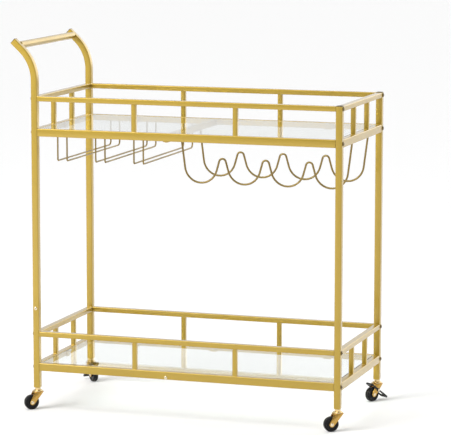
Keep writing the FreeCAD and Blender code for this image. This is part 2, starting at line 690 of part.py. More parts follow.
bolts, rail_plugs = [], []
bolt_long = "(dims.tube_side + dims.bolt_bite)"
for end, way in ends.items():
    for side, sign in sides.items():
        for shelf in levels:
            for kind, axis in (("rail", rail_axis[shelf]), ("guard", guard_axis[shelf])):
                tag = f"{shelf}_{end}_{side}_{kind}"
                y, z = f"{sign}{half_depth}", f"{caster_tall} + {axis}"
                spot = (f"{way}({half_span} + {half_tube})", y, z)
                turn = "270" if way else "90"
                bolts.append(
                    turned_fastener(
                        f"bolt_{tag}",
                        "dims.bolt_shank",
                        bolt_long,
                        "dims.bolt_head",
                        "dims.head_tall",
                        spot,
                        turn,
                        (0, 1, 0),
                    )
                )
                plug = new_body(f"rail_plug_{tag}")
                sketch = new_sketch(plug, "YZ_Plane")
                tall = "dims.rail_tall" if kind == "rail" else "dims.guard_tall"
                clear = "2 * (dims.tube_wall + dims.sleeve_gap)"
                wide, high = f"(dims.tube_side - {clear})", f"({tall} - {clear})"
                draw_round_rectangle(sketch, wide, high, inner_corner)
                draw_circle(sketch, "(dims.bolt_shank + dims.hole_play) / 2")
                pad(plug, sketch, "dims.plug_long")
                place(plug, f"{way}({run_x} / 2 - dims.plug_long / 2)", y, z)
                rail_plugs.append(plug)
keep(group("frame_bolts", bolts))
keep(group("rail_plugs", rail_plugs))

screws = []
for side, sign in sides.items():
    face_y = f"{sign}({half_depth} + {half_tube})"
    turn = "270" if side == "rear" else "90"
    sleeve_bite = "(dims.tube_wall + dims.sleeve_gap + dims.sleeve_wall + dims.screw_past)"
    spot = (f"-{half_span}", face_y, f"{caster_tall} + {screw_level}")
    head = ("dims.screw_head", "dims.screw_head_tall")
    screws.append(
        turned_fastener(
            f"post_screw_{side}", "dims.screw_shank", sleeve_bite, *head, spot, turn, (1, 0, 0)
        )
    )
    bracket_bite = "(dims.tube_side + dims.tab_thick + dims.screw_past)"
    bracket_z = f"{caster_tall} + {rail_axis['lower']} - {bracket_screw}"
    spot = ("-dims.crossbar_left", face_y, bracket_z)
    screws.append(
        turned_fastener(
            f"bracket_screw_{side}", "dims.screw_shank", bracket_bite, *head, spot, turn, (1, 0, 0)
        )
    )
    ear_bite = "(dims.tab_thick + dims.tube_wall + dims.screw_past)"
    spot = ("-dims.crossbar_left", f"{sign}{half_depth}", f"{crossbar_under} - dims.tab_thick")
    screws.append(
        turned_fastener(
            f"crossbar_screw_{side}", "dims.screw_shank", ear_bite, *head, spot, "180", (1, 0, 0)
        )
    )
keep(group("pan_head_screws", screws))

# Plugs that close the tops of the right posts and the ends of the bent posts.
caps = []
cap_side = f"({bore_side} - 2 * dims.sleeve_gap)"
for side, sign in sides.items():
    tops = (
        ("right", half_span, f"{caster_tall} + {post_end}", None),
        (
            "left",
            f"-{half_span} - {reach}",
            f"{caster_tall} + {bend_level} + {rise}",
            "-dims.bend_turn",
        ),
    )
    for end, x, z, turn in tops:
        cap = new_body(f"post_cap_{end}_{side}")
        sketch = new_sketch(cap, "XY_Plane")
        draw_round_rectangle(sketch, cap_side, cap_side, inner_corner)
        pad(cap, sketch, "dims.cap_deep", centred=False).Reversed = True
        place(cap, x, f"{sign}{half_depth}", z, turn=turn, axis=(0, 1, 0))
        caps.append(cap)
keep(group("post_caps", caps))

# Casters. Each is drawn about its swivel axis, trailing towards -X, and then turned.
stem_top = f"({caster_tall} + dims.socket_long - dims.stem_short)"
stem_bore = "(dims.stem_round + dims.run_play)"
cup_under = f"({swivel_top} + dims.side_play)"
head_top = f"({swivel_under} - dims.side_play)"
axle_level = wheel_radius
collar_radius = f"({half_tube} - dims.collar_inset)"
brake_run_x = "(dims.shoe_back + dims.pedal_front)"
shoe_level = f"({caster_tall} - dims.shoe_below)"
brake_run_z = f"({shoe_level} - dims.pedal_level)"
brake_long = f"sqrt({brake_run_x} * {brake_run_x} + {brake_run_z} * {brake_run_z})"
brake_lean = f"atan({brake_run_z} / {brake_run_x})"
pivot_level = f"({shoe_level} - (dims.shoe_back - dims.brake_pivot) * {brake_run_z} / {brake_run_x})"
arm_inside = f"({fork_wide} / 2 + 2 * dims.side_play)"
slot_over = 4  # the cut between the brake arms is this many times as tall as the bar


def corner_place(piece, corner):
    name, x, y = corner
    place(piece, x, y, "0", turn=f"dims.turn_{name}")


def make_stem(corner):
    name, x, y = corner
    body = new_body(f"stem_{name}")
    outline = [
        ("0", f"{head_top} - dims.stem_head_tall"),
        ("dims.stem_head / 2", f"{head_top} - dims.stem_head_tall"),
        ("dims.stem_head / 2", head_top),
        ("dims.stem_round / 2", head_top),
        ("dims.stem_round / 2", cup_under),
        ("dims.cup_round / 2", cup_under),
        ("dims.cup_round / 2", f"{cup_under} + dims.cup_rim"),
        (collar_radius, f"{cup_under} + dims.cup_tall"),
        (collar_radius, caster_tall),
        ("dims.stem_round / 2", caster_tall),
        ("dims.stem_round / 2", stem_top),
        ("0", stem_top),
    ]
    revolve(body, outline, "V_Axis")
    place(body, x, y)
    return body


def make_socket(corner):
    name, x, y = corner
    body = new_body(f"socket_{name}")
    sketch = new_sketch(body, "XY_Plane")
    draw_round_rectangle(sketch, cap_side, cap_side, inner_corner)
    draw_circle(sketch, f"{stem_bore} / 2")
    pad(body, sketch, "dims.socket_long", centred=False)
    place(body, x, y, caster_tall)
    return body


def make_fork(corner, braked):
    """Two tapered cheeks under a round swivel plate."""
    name = corner[0]
    body = new_body(f"{name}_fork")
    cheek = new_sketch(body, "XZ_Plane")
    top_back = ("-dims.fork_back", swivel_top)
    top_front = ("dims.fork_front", swivel_top)
    eye = Vector(-number("dims.trail"), number(axle_level), 0)
    radius = number("dims.fork_eye")
    back = Vector(number(top_back[0]), number(top_back[1]), 0)
    front = Vector(number(top_front[0]), number(top_front[1]), 0)
    left, right = end_leg(eye, radius, back, -1), end_leg(eye, radius, front, 1)
    cheek.addGeometry(Part.LineSegment(front, back), False)
    cheek.addGeometry(Part.LineSegment(back, left), False)
    cheek.addGeometry(arc_between(eye, radius, left, right), False)
    cheek.addGeometry(Part.LineSegment(right, front), False)
    cheek.addConstraint(Sketcher.Constraint("Coincident", 0, 2, 1, 1))
    cheek.addConstraint(Sketcher.Constraint("Tangent", 1, 2, 2, 1))
    cheek.addConstraint(Sketcher.Constraint("Tangent", 2, 2, 3, 1))
    cheek.addConstraint(Sketcher.Constraint("Coincident", 3, 2, 0, 1))
    fix_point(cheek, 0, 1, *top_front)
    fix_point(cheek, 0, 2, *top_back)
    fix_point(cheek, 2, 3, "-dims.trail", axle_level)
    bound(cheek, Sketcher.Constraint("Radius", 2, radius), "dims.fork_eye")
    pad(body, cheek, fork_wide)
    gap = new_sketch(body, "YZ_Plane")
    draw_outline(
        gap,
        [
            (f"-{fork_gap} / 2", "0"),
            (f"{fork_gap} / 2", "0"),
            (f"{fork_gap} / 2", swivel_under),
            (f"-{fork_gap} / 2", swivel_under),
        ],
    )
    pocket_through(body, gap)
    plate = new_sketch(body, "XY_Plane", swivel_under)
    draw_circle(plate, "dims.swivel_round / 2")
    pad(body, plate, "dims.swivel_thick", centred=False)
    hole = new_sketch(body, "XY_Plane")
    draw_circle(hole, f"{stem_bore} / 2")
    pocket_through(body, hole)
    drill_eye = new_sketch(body, "XZ_Plane")
    draw_circle(drill_eye, "dims.axle_round / 2", "-dims.trail", axle_level)
    if braked:
        draw_circle(drill_eye, "dims.brake_pin / 2", "-dims.brake_pivot", pivot_level)
    pocket_through(body, drill_eye)
    corner_place(body, corner)
    return body


def make_wheel(corner):
    """A solid wheel with rounded treads and a shallow ring in each face."""
    body = new_body(f"{corner[0]}_wheel")
    bore = "(dims.axle_round + dims.run_play) / 2"
    hub = f"({fork_gap} / 2 - dims.side_play)"
    half = "dims.wheel_wide / 2"
    dish = f"({half} - dims.wheel_dish)"
    ring_edge = f"{wheel_radius} - dims.wheel_corner - dims.wheel_land"
    right_side = [
        (hub, bore),
        (hub, "dims.axle_round"),
        (dish, "dims.axle_round + dims.wheel_slope"),
        (dish, f"{ring_edge} - dims.wheel_slope"),
        (half, ring_edge),
        (half, wheel_radius),
    ]
    left_side = [(f"-{y}", z) for y, z in reversed(right_side)]
    revolve(body, right_side + left_side, "H_Axis")
    doc.recompute()
    turned = body.Tip
    rims = []
    for index, edge in enumerate(turned.Shape.Edges, start=1):
        curve = edge.Curve
        if isinstance(curve, Part.Circle) and abs(curve.Radius - number(wheel_radius)) < 1e-6:
            rims.append(f"Edge{index}")
    rounding = body.newObject("PartDesign::Fillet", f"{body.Name}_rounding")
    rounding.Base = (turned, rims)
    rounding.setExpression("Radius", f"min(dims.wheel_corner; {half} - dims.tread_flat)")
    return body


def place_on_axle(piece, corner):
    """A piece drawn about its own centre, set on the wheel axis of a caster."""
    name, x, y = corner
    turn = f"dims.turn_{name}"
    at_x = f"{x} - dims.trail * cos({turn} * 1 deg)"
    at_y = f"{y} - dims.trail * sin({turn} * 1 deg)"
    place(piece, at_x, at_y, axle_level, turn=turn)


def rivet_outline(shank, inside, outside, head, tall):
    """A rivet from one distance to another along +Y, with a domed head outside."""
    return [
        (inside, "0"),
        (inside, f"{shank} / 2"),
        (outside, f"{shank} / 2"),
        (outside, f"{head} / 2"),
        (f"{outside} + {tall} * {dome_start}", f"{head} / 2"),
        (f"{outside} + {tall}", f"{head} * {dome_flat}"),
        (f"{outside} + {tall}", "0"),
    ]


def make_axle(corner):
    body = new_body(f"{corner[0]}_axle")
    outer = f"({fork_wide} / 2)"
    tall = "dims.axle_head_tall"
    half = rivet_outline("dims.axle_round", "0", outer, "dims.axle_head", tall)[2:]
    points = [(f"-({y})", z) for y, z in reversed(half)] + half
    revolve(body, points, "H_Axis")
    place_on_axle(body, corner)
    return body


def make_brake(corner):
    """A bar bent round the fork: shoe behind, pedal in front, pivoting on both cheeks."""
    body = new_body(f"{corner[0]}_brake")
    outside = f"({arm_inside} + dims.brake_arm)"
    back, front = "(-dims.shoe_back)", "dims.pedal_front"
    side_x = f"(dims.brake_tall / 2 * {brake_run_z} / {brake_long})"
    side_z = f"(dims.brake_tall / 2 * {brake_run_x} / {brake_long})"
    along_x = f"(dims.brake_bridge * {brake_run_x} / {brake_long})"
    along_z = f"(dims.brake_bridge * {brake_run_z} / {brake_long})"
    bar = new_sketch(body, "XZ_Plane")
    draw_outline(
        bar,
        [
            (f"{back} - {side_x}", f"{shoe_level} - {side_z}"),
            (f"{front} - {side_x}", f"dims.pedal_level - {side_z}"),
            (f"{front} + {side_x}", f"dims.pedal_level + {side_z}"),
            (f"{back} + {side_x}", f"{shoe_level} + {side_z}"),
        ],
    )
    pad(body, bar, f"2 * {outside}")
    boss = new_sketch(body, "XZ_Plane")
    draw_circle(boss, "dims.brake_boss", "-dims.brake_pivot", pivot_level)
    pad(body, boss, f"2 * {outside}")
    slot = new_sketch(body, "XZ_Plane")
    wide_x = f"({slot_over} * {side_x})"
    wide_z = f"({slot_over} * {side_z})"
    x1, z1 = f"({back} + {along_x})", f"({shoe_level} - {along_z})"
    x2, z2 = f"({front} - {along_x})", f"(dims.pedal_level + {along_z})"
    draw_outline(
        slot,
        [
            (f"{x1} - {wide_x}", f"{z1} - {wide_z}"),
            (f"{x2} - {wide_x}", f"{z2} - {wide_z}"),
            (f"{x2} + {wide_x}", f"{z2} + {wide_z}"),
            (f"{x1} + {wide_x}", f"{z1} + {wide_z}"),
        ],
    )
    cut = pocket_through(body, slot)
    cut.Type = "Length"
    cut.setExpression("Length", f"2 * {arm_inside}")
    eye = new_sketch(body, "XZ_Plane")
    draw_circle(eye, "(dims.brake_pin + dims.run_play) / 2", "-dims.brake_pivot", pivot_level)
    pocket_through(body, eye)
    corner_place(body, corner)
    return body


def make_brake_rivets(corner):
    rivets = []
    name, x, y = corner
    for side, flip in (("near", "180"), ("far", "0")):
        body = new_body(f"{name}_brake_rivet_{side}")
        inside = f"({fork_gap} / 2)"
        outside = f"({arm_inside} + dims.brake_arm + dims.side_play)"
        head = ("dims.brake_pin_head", "dims.brake_pin_head_tall")
        points = rivet_outline("dims.brake_pin", inside, outside, *head)
        revolve(body, points, "H_Axis")
        turn = f"dims.turn_{name}"
        at_x = f"{x} - dims.brake_pivot * cos({turn} * 1 deg)"
        at_y = f"{y} - dims.brake_pivot * sin({turn} * 1 deg)"
        place(body, at_x, at_y, pivot_level, turn=f"{turn} + {flip}")
        rivets.append(body)
    return group(f"{name}_brake_rivets", rivets)


corners = []
for end, way in ends.items():
    for side, sign in sides.items():
        corners.append((f"{end}_{side}", f"{way}{half_span}", f"{sign}{half_depth}"))
keep(group("caster_stems", [make_stem(corner) for corner in corners]))
keep(group("stem_sockets", [make_socket(corner) for corner in corners]))
for corner in corners:
    rear = corner[0].endswith("rear")
    keep(make_fork(corner, rear))
    wheel = keep(make_wheel(corner))
    place_on_axle(wheel, corner)
    keep(make_axle(corner))
    if rear:
        keep(make_brake(corner))
        keep(make_brake_rivets(corner))

doc.recompute()
for item in doc.Objects:
    if any(word in item.State for word in ("Invalid", "Error")):
        raise RuntimeError(f"{item.Label} did not build: {item.State}")
for node in nodes:
    if node.Shape.isNull() or not node.Shape.isValid():
        raise RuntimeError(f"{node.Label} has no valid shape")
os.makedirs("parts", exist_ok=True)
for node in nodes:
    node.Shape.exportStep(f"parts/{node.Label}.step")
print(len(nodes), "nodes")
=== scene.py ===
import json
from math import atan2, cos, pi, radians, sin, sqrt
import bmesh
import bpy
from mathutils import Euler, Matrix, Vector


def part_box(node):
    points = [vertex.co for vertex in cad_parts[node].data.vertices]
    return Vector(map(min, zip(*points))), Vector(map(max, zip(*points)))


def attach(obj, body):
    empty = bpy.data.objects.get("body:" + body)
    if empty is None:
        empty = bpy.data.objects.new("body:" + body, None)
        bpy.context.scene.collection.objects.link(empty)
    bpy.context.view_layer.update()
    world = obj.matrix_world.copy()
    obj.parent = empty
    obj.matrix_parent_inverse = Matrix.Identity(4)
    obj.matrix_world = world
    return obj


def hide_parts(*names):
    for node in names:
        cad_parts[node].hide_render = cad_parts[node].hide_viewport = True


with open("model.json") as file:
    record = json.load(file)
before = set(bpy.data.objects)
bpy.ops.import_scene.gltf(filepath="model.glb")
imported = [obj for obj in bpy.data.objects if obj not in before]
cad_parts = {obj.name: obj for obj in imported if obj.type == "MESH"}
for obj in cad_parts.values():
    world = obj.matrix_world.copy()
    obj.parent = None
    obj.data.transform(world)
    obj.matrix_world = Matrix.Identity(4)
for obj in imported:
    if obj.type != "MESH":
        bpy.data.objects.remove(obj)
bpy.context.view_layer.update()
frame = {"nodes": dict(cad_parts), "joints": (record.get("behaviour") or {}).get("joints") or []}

mm = 0.001
axes = axisX, axisY, axisZ = Vector((1, 0, 0)), Vector((0, 1, 0)), Vector((0, 0, 1))

# A gold bar cart on casters. Dictionaries hold millimetres and degrees, meshes hold metres.
sides = {"front": -1, "rear": 1}
ends = {"left": -1, "right": 1}
shelves = ("lower", "upper")


# Helpers for meshes

def span(node):
    low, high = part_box(node)
    return Vector(low), Vector(high)


def middleOf(node):
    low, high = span(node)
    return (low + high) / 2


def intoScene(name, data):
    item = bpy.data.objects.new(name, data)
    bpy.context.scene.collection.objects.link(item)
    return item


def newPiece(name, mesh, sharp=35):
    mesh.name = name
    mesh.shade_smooth()
    mesh.set_sharp_from_angle(angle=radians(sharp))
    return intoScene(name, mesh)


def fromBmesh(name, bm, sharp=35):
    bmesh.ops.recalc_face_normals(bm, faces=bm.faces)
    mesh = bpy.data.meshes.new(name)
    bm.to_mesh(mesh)
    bm.free()
    return newPiece(name, mesh, sharp)


def settle(piece, finish, slot, body, *nodes):  # its finish, its body and the CAD nodes it stands for
    piece.data.materials.clear()
    piece.data.materials.append(finish)
    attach(piece, body)
    if nodes:
        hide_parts(*nodes)
    return piece


def arc(cx, cy, radius, start, turn, steps):
    angles = [radians(start + turn * i / steps) for i in range(steps + 1)]
    return [(cx + radius * cos(a), cy + radius * sin(a)) for a in angles]


def roundLoop(wide, tall, corner, steps=5):
    a, b = wide / 2 - corner, tall / 2 - corner
    points = []
    for x, y, start in ((a, b, 0), (-a, b, 90), (-a, -b, 180), (a, -b, 270)):
        points += arc(x, y, corner, start, 90, steps)
    return points


def join(bm, rings, closed=False):  # faces between rings, where a ring of one vertex is a pole
    pairs = list(zip(rings, rings[1:]))
    if closed:
        pairs.append((rings[-1], rings[0]))
    for one, two in pairs:
        count = max(len(one), len(two))
        for i in range(count):
            j = (i + 1) % count
            corners = [one[i % len(one)], one[j % len(one)], two[j % len(two)], two[i % len(two)]]
            corners = list(dict.fromkeys(corners))
            if len(corners) > 2:
                bm.faces.new(corners)


def lathe(bm, profile, place=None, steps=48, closed=False):  # (radius, height) pairs about local Z
    place = place or Matrix()
    rings = []
    for radius, height in profile:
        count = steps if radius > 1e-7 else 1
        turns = [2 * pi * i / count for i in range(count)]
        spots = [Vector((radius * cos(a), radius * sin(a), height)) for a in turns]
        rings.append([bm.verts.new(place @ (spot * mm)) for spot in spots])
    join(bm, rings, closed)


def closeEnds(bm, rings):  # rings joined, with a face at both ends
    join(bm, rings)
    bm.faces.new(rings[0])
    bm.faces.new(rings[-1])


def plate(bm, outline, low, high, place=None):  # an outline in local XY, thickened along local Z
    place = place or Matrix()
    rings = [[bm.verts.new(place @ (Vector((x, y, z)) * mm)) for x, y in outline] for z in (low, high)]
    closeEnds(bm, rings)


def easeEdges(bm, width, least=30):
    bmesh.ops.recalc_face_normals(bm, faces=bm.faces)
    sharp = [e for e in bm.edges if len(e.link_faces) == 2 and e.calc_face_angle() > radians(least)]
    bmesh.ops.bevel(bm, geom=sharp, offset=width * mm, segments=2, affect="EDGES", profile=0.5)


upright = Matrix(((1, 0, 0, 0), (0, 0, 1, 0), (0, 1, 0, 0), (0, 0, 0, 1)))  # outline XY to world XZ


# Helpers for Geometry Nodes

def newTree(name, inputs):
    tree = bpy.data.node_groups.new(name, "GeometryNodeTree")
    for label, kind, value in [("Geometry", "NodeSocketGeometry", None)] + inputs:
        socket = tree.interface.new_socket(label, in_out="INPUT", socket_type=kind)
        if value is not None:
            socket.default_value = value
    tree.interface.new_socket("Geometry", in_out="OUTPUT", socket_type="NodeSocketGeometry")
    return tree, tree.nodes.new("NodeGroupInput"), tree.nodes.new("NodeGroupOutput")


def wire(tree, *links):  # (node, output, node, input)
    for one, out, two, into in links:
        tree.links.new(one.outputs[out], two.inputs[into])


def lastNodes(tree, shape, start, end):  # Realize Instances and Set Material close every tree
    real = tree.nodes.new("GeometryNodeRealizeInstances")
    paint = tree.nodes.new("GeometryNodeSetMaterial")
    wire(tree, (shape, 0, real, 0), (real, 0, paint, 0))
    wire(tree, (start, "Material", paint, "Material"), (paint, 0, end, 0))


def grow(name, mesh, tree, values):  # runs a tree on a mesh and keeps the result as a plain mesh
    seed = intoScene(name + "Seed", mesh)
    modifier = seed.modifiers.new("grow", "NODES")
    modifier.node_group = tree
    for item in tree.interface.items_tree:
        if item.item_type == "SOCKET" and item.in_out == "INPUT" and item.name in values:
            modifier[item.identifier] = values[item.name]
    graph = bpy.context.evaluated_depsgraph_get()
    grown = bpy.data.meshes.new_from_object(seed.evaluated_get(graph), depsgraph=graph)
    seed.modifiers.clear()
    bpy.data.objects.remove(seed)
    return newPiece(name, grown)


def wireTree():  # a round rod along every line of the mesh
    tree, start, end = newTree(
        "rodAlongPath",
        [
            ("Radius", "NodeSocketFloat", 0.002),
            ("Facets", "NodeSocketInt", 20),
            ("Material", "NodeSocketMaterial", None),
        ],
    )
    path = tree.nodes.new("GeometryNodeMeshToCurve")
    ring = tree.nodes.new("GeometryNodeCurvePrimitiveCircle")
    rod = tree.nodes.new("GeometryNodeCurveToMesh")
    rod.inputs["Fill Caps"].default_value = True
    wire(
        tree,
        (start, "Geometry", path, 0),
        (start, "Facets", ring, "Resolution"),
        (start, "Radius", ring, "Radius"),
        (path, 0, rod, "Curve"),
        (ring, 0, rod, "Profile Curve"),
    )
    lastNodes(tree, rod, start, end)
    return tree


def beadTree():  # a rippled weld bead along every closed line of the mesh
    tree, start, end = newTree(
        "weldBead",
        [
            ("Radius", "NodeSocketFloat", 0.0009),
            ("Step", "NodeSocketFloat", 0.0012),
            ("Ripple", "NodeSocketFloat", 0.35),
            ("Ripple Scale", "NodeSocketFloat", 900.0),
            ("Material", "NodeSocketMaterial", None),
        ],
    )
    path = tree.nodes.new("GeometryNodeMeshToCurve")
    even = tree.nodes.new("GeometryNodeResampleCurve")
    even.mode = "LENGTH"
    place = tree.nodes.new("GeometryNodeInputPosition")
    noise = tree.nodes.new("ShaderNodeTexNoise")
    noise.inputs["Detail"].default_value = 1.0
    swell = tree.nodes.new("ShaderNodeMath")
    swell.operation = "MULTIPLY_ADD"
    swell.inputs[2].default_value = 0.8  # the thinnest share of the radius
    thick = tree.nodes.new("GeometryNodeSetCurveRadius")
    ring = tree.nodes.new("GeometryNodeCurvePrimitiveCircle")
    ring.inputs["Resolution"].default_value = 8
    bead = tree.nodes.new("GeometryNodeCurveToMesh")
    wire(
        tree,
        (start, "Geometry", path, 0),
        (path, 0, even, "Curve"),
        (start, "Step", even, "Length"),
        (place, 0, noise, "Vector"),
        (start, "Ripple Scale", noise, "Scale"),
        (noise, "Fac", swell, 0),
        (start, "Ripple", swell, 1),
        (even, 0, thick, "Curve"),
        (swell, 0, thick, "Radius"),
        (start, "Radius", ring, "Radius"),
        (thick, 0, bead, "Curve"),
        (ring, 0, bead, "Profile Curve"),
    )
    if "Scale" in bead.inputs:
        wire(tree, (swell, 0, bead, "Scale"))
    lastNodes(tree, bead, start, end)
    return tree


def scatterTree():  # one copy of a shape on every point, turned by the point's own angles
    tree, start, end = newTree(
        "setOnPoints",
        [
            ("Shape", "NodeSocketObject", None),
            ("Size", "NodeSocketFloat", 1.0),
            ("Material", "NodeSocketMaterial", None),
        ],
    )
    shape = tree.nodes.new("GeometryNodeObjectInfo")
    angles = tree.nodes.new("GeometryNodeInputNamedAttribute")
    angles.data_type = "FLOAT_VECTOR"
    angles.inputs["Name"].default_value = "turn"
    turned = tree.nodes.new("FunctionNodeEulerToRotation")
    copies = tree.nodes.new("GeometryNodeInstanceOnPoints")
    wire(
        tree,
        (start, "Shape", shape, "Object"),
        (start, "Geometry", copies, "Points"),
        (shape, "Geometry", copies, "Instance"),
        (angles, "Attribute", turned, 0),
        (turned, 0, copies, "Rotation"),
        (start, "Size", copies, "Scale"),
    )
    lastNodes(tree, copies, start, end)
    return tree


rodTree, weldTree, setTree = wireTree(), beadTree(), scatterTree()


def lineMesh(lines, closed):  # each line is a list of points
    mesh = bpy.data.meshes.new("lines")
    points, edges = [], []
    for line in lines:
        first = len(points)
        points += line
        edges += [(first + i, first + i + 1) for i in range(len(line) - 1)]
        if closed:
            edges.append((len(points) - 1, first))
    mesh.from_pydata(points, edges, [])
    return mesh


def setOut(name, shape, spots, finish):  # copies of a shape at (place, turn) spots, which use it up
    mesh = bpy.data.meshes.new("spots")
    mesh.from_pydata([place for place, turn in spots], [], [])
    turns = mesh.attributes.new("turn", "FLOAT_VECTOR", "POINT")
    for i, (place, turn) in enumerate(spots):
        turns.data[i].vector = turn
    piece = grow(name, mesh, setTree, {"Shape": shape, "Size": 1.0, "Material": finish})
    bpy.data.objects.remove(shape)
    return piece


# Materials

def shaderGroup(name, inputs, outputs):
    group = bpy.data.node_groups.new(name, "ShaderNodeTree")
    for label, kind, value in inputs:
        socket = group.interface.new_socket(label, in_out="INPUT", socket_type=kind)
        socket.default_value = value
    for label, kind in outputs:
        group.interface.new_socket(label, in_out="OUTPUT", socket_type=kind)
    return group, group.nodes.new("NodeGroupInput"), group.nodes.new("NodeGroupOutput")


def mathNode(tree, operation, second=None, third=None):
    node = tree.nodes.new("ShaderNodeMath")
    node.operation = operation
    if second is not None:
        node.inputs[1].default_value = second
    if third is not None:
        node.inputs[2].default_value = third
    return node


def fill(node, values):
    for label, value in values.items():
        node.inputs[label].default_value = value


def mixNode(tree):
    node = tree.nodes.new("ShaderNodeMix")
    node.data_type = "RGBA"
    return node


def grainGroup():  # flakes and soft blotches of a sprayed, plated or moulded surface
    group, start, end = shaderGroup(
        "surfaceGrain",
        [
            ("Colour", "NodeSocketColor", (0.5, 0.5, 0.5, 1)),
            ("Deep Colour", "NodeSocketColor", (0.4, 0.4, 0.4, 1)),
            ("Grain Scale", "NodeSocketFloat", 1800.0),
            ("Blotch Scale", "NodeSocketFloat", 14.0),
            ("Rough Low", "NodeSocketFloat", 0.3),
            ("Rough High", "NodeSocketFloat", 0.45),
        ],
        [("Colour", "NodeSocketColor"), ("Roughness", "NodeSocketFloat"), ("Height", "NodeSocketFloat")],
    )
    place = group.nodes.new("ShaderNodeTexCoord")
    grain = group.nodes.new("ShaderNodeTexNoise")
    grain.inputs["Detail"].default_value = 3.0
    blotch = group.nodes.new("ShaderNodeTexNoise")
    blotch.inputs["Detail"].default_value = 4.0
    share = mathNode(group, "MULTIPLY_ADD", 0.6)
    half = mathNode(group, "MULTIPLY", 0.4)
    shade = mixNode(group)
    rough = group.nodes.new("ShaderNodeMapRange")
    fill(rough, {"From Min": 0.3, "From Max": 0.7})
    wire(
        group,
        (place, "Object", grain, "Vector"),
        (place, "Object", blotch, "Vector"),
        (start, "Grain Scale", grain, "Scale"),
        (start, "Blotch Scale", blotch, "Scale"),
        (blotch, "Fac", half, 0),
        (grain, "Fac", share, 0),
        (half, 0, share, 2),
        (share, 0, shade, "Factor"),
        (start, "Colour", shade, 6),
        (start, "Deep Colour", shade, 7),
        (shade, 2, end, "Colour"),
        (blotch, "Fac", rough, "Value"),
        (start, "Rough Low", rough, "To Min"),
        (start, "Rough High", rough, "To Max"),
        (rough, "Result", end, "Roughness"),
        (grain, "Fac", end, "Height"),
    )
    return group


def scratchGroup():  # sparse hairline scratches
    group, start, end = shaderGroup(
        "hairlineScratches",
        [
            ("Scale", "NodeSocketFloat", 90.0),
            ("Width", "NodeSocketFloat", 0.012),
            ("Amount", "NodeSocketFloat", 0.5),
        ],
        [("Mask", "NodeSocketFloat")],
    )
    place = group.nodes.new("ShaderNodeTexCoord")
    bend = group.nodes.new("ShaderNodeTexNoise")
    bend.inputs["Scale"].default_value = 25.0
    mixed = mixNode(group)
    mixed.inputs["Factor"].default_value = 0.12
    cells = group.nodes.new("ShaderNodeTexVoronoi")
    cells.feature = "DISTANCE_TO_EDGE"
    near = mathNode(group, "LESS_THAN")
    patches = group.nodes.new("ShaderNodeTexNoise")
    patches.inputs["Scale"].default_value = 60.0
    some = mathNode(group, "GREATER_THAN", 0.56)
    both = mathNode(group, "MULTIPLY")
    scaled = mathNode(group, "MULTIPLY")
    wire(
        group,
        (place, "Object", bend, "Vector"),
        (place, "Object", mixed, 6),
        (bend, "Color", mixed, 7),
        (mixed, 2, cells, "Vector"),
        (start, "Scale", cells, "Scale"),
        (cells, "Distance", near, 0),
        (start, "Width", near, 1),
        (place, "Object", patches, "Vector"),
        (patches, "Fac", some, 0),
        (near, 0, both, 0),
        (some, 0, both, 1),
        (both, 0, scaled, 0),
        (start, "Amount", scaled, 1),
        (scaled, 0, end, "Mask"),
    )
    return group


grain, scratches = grainGroup(), scratchGroup()

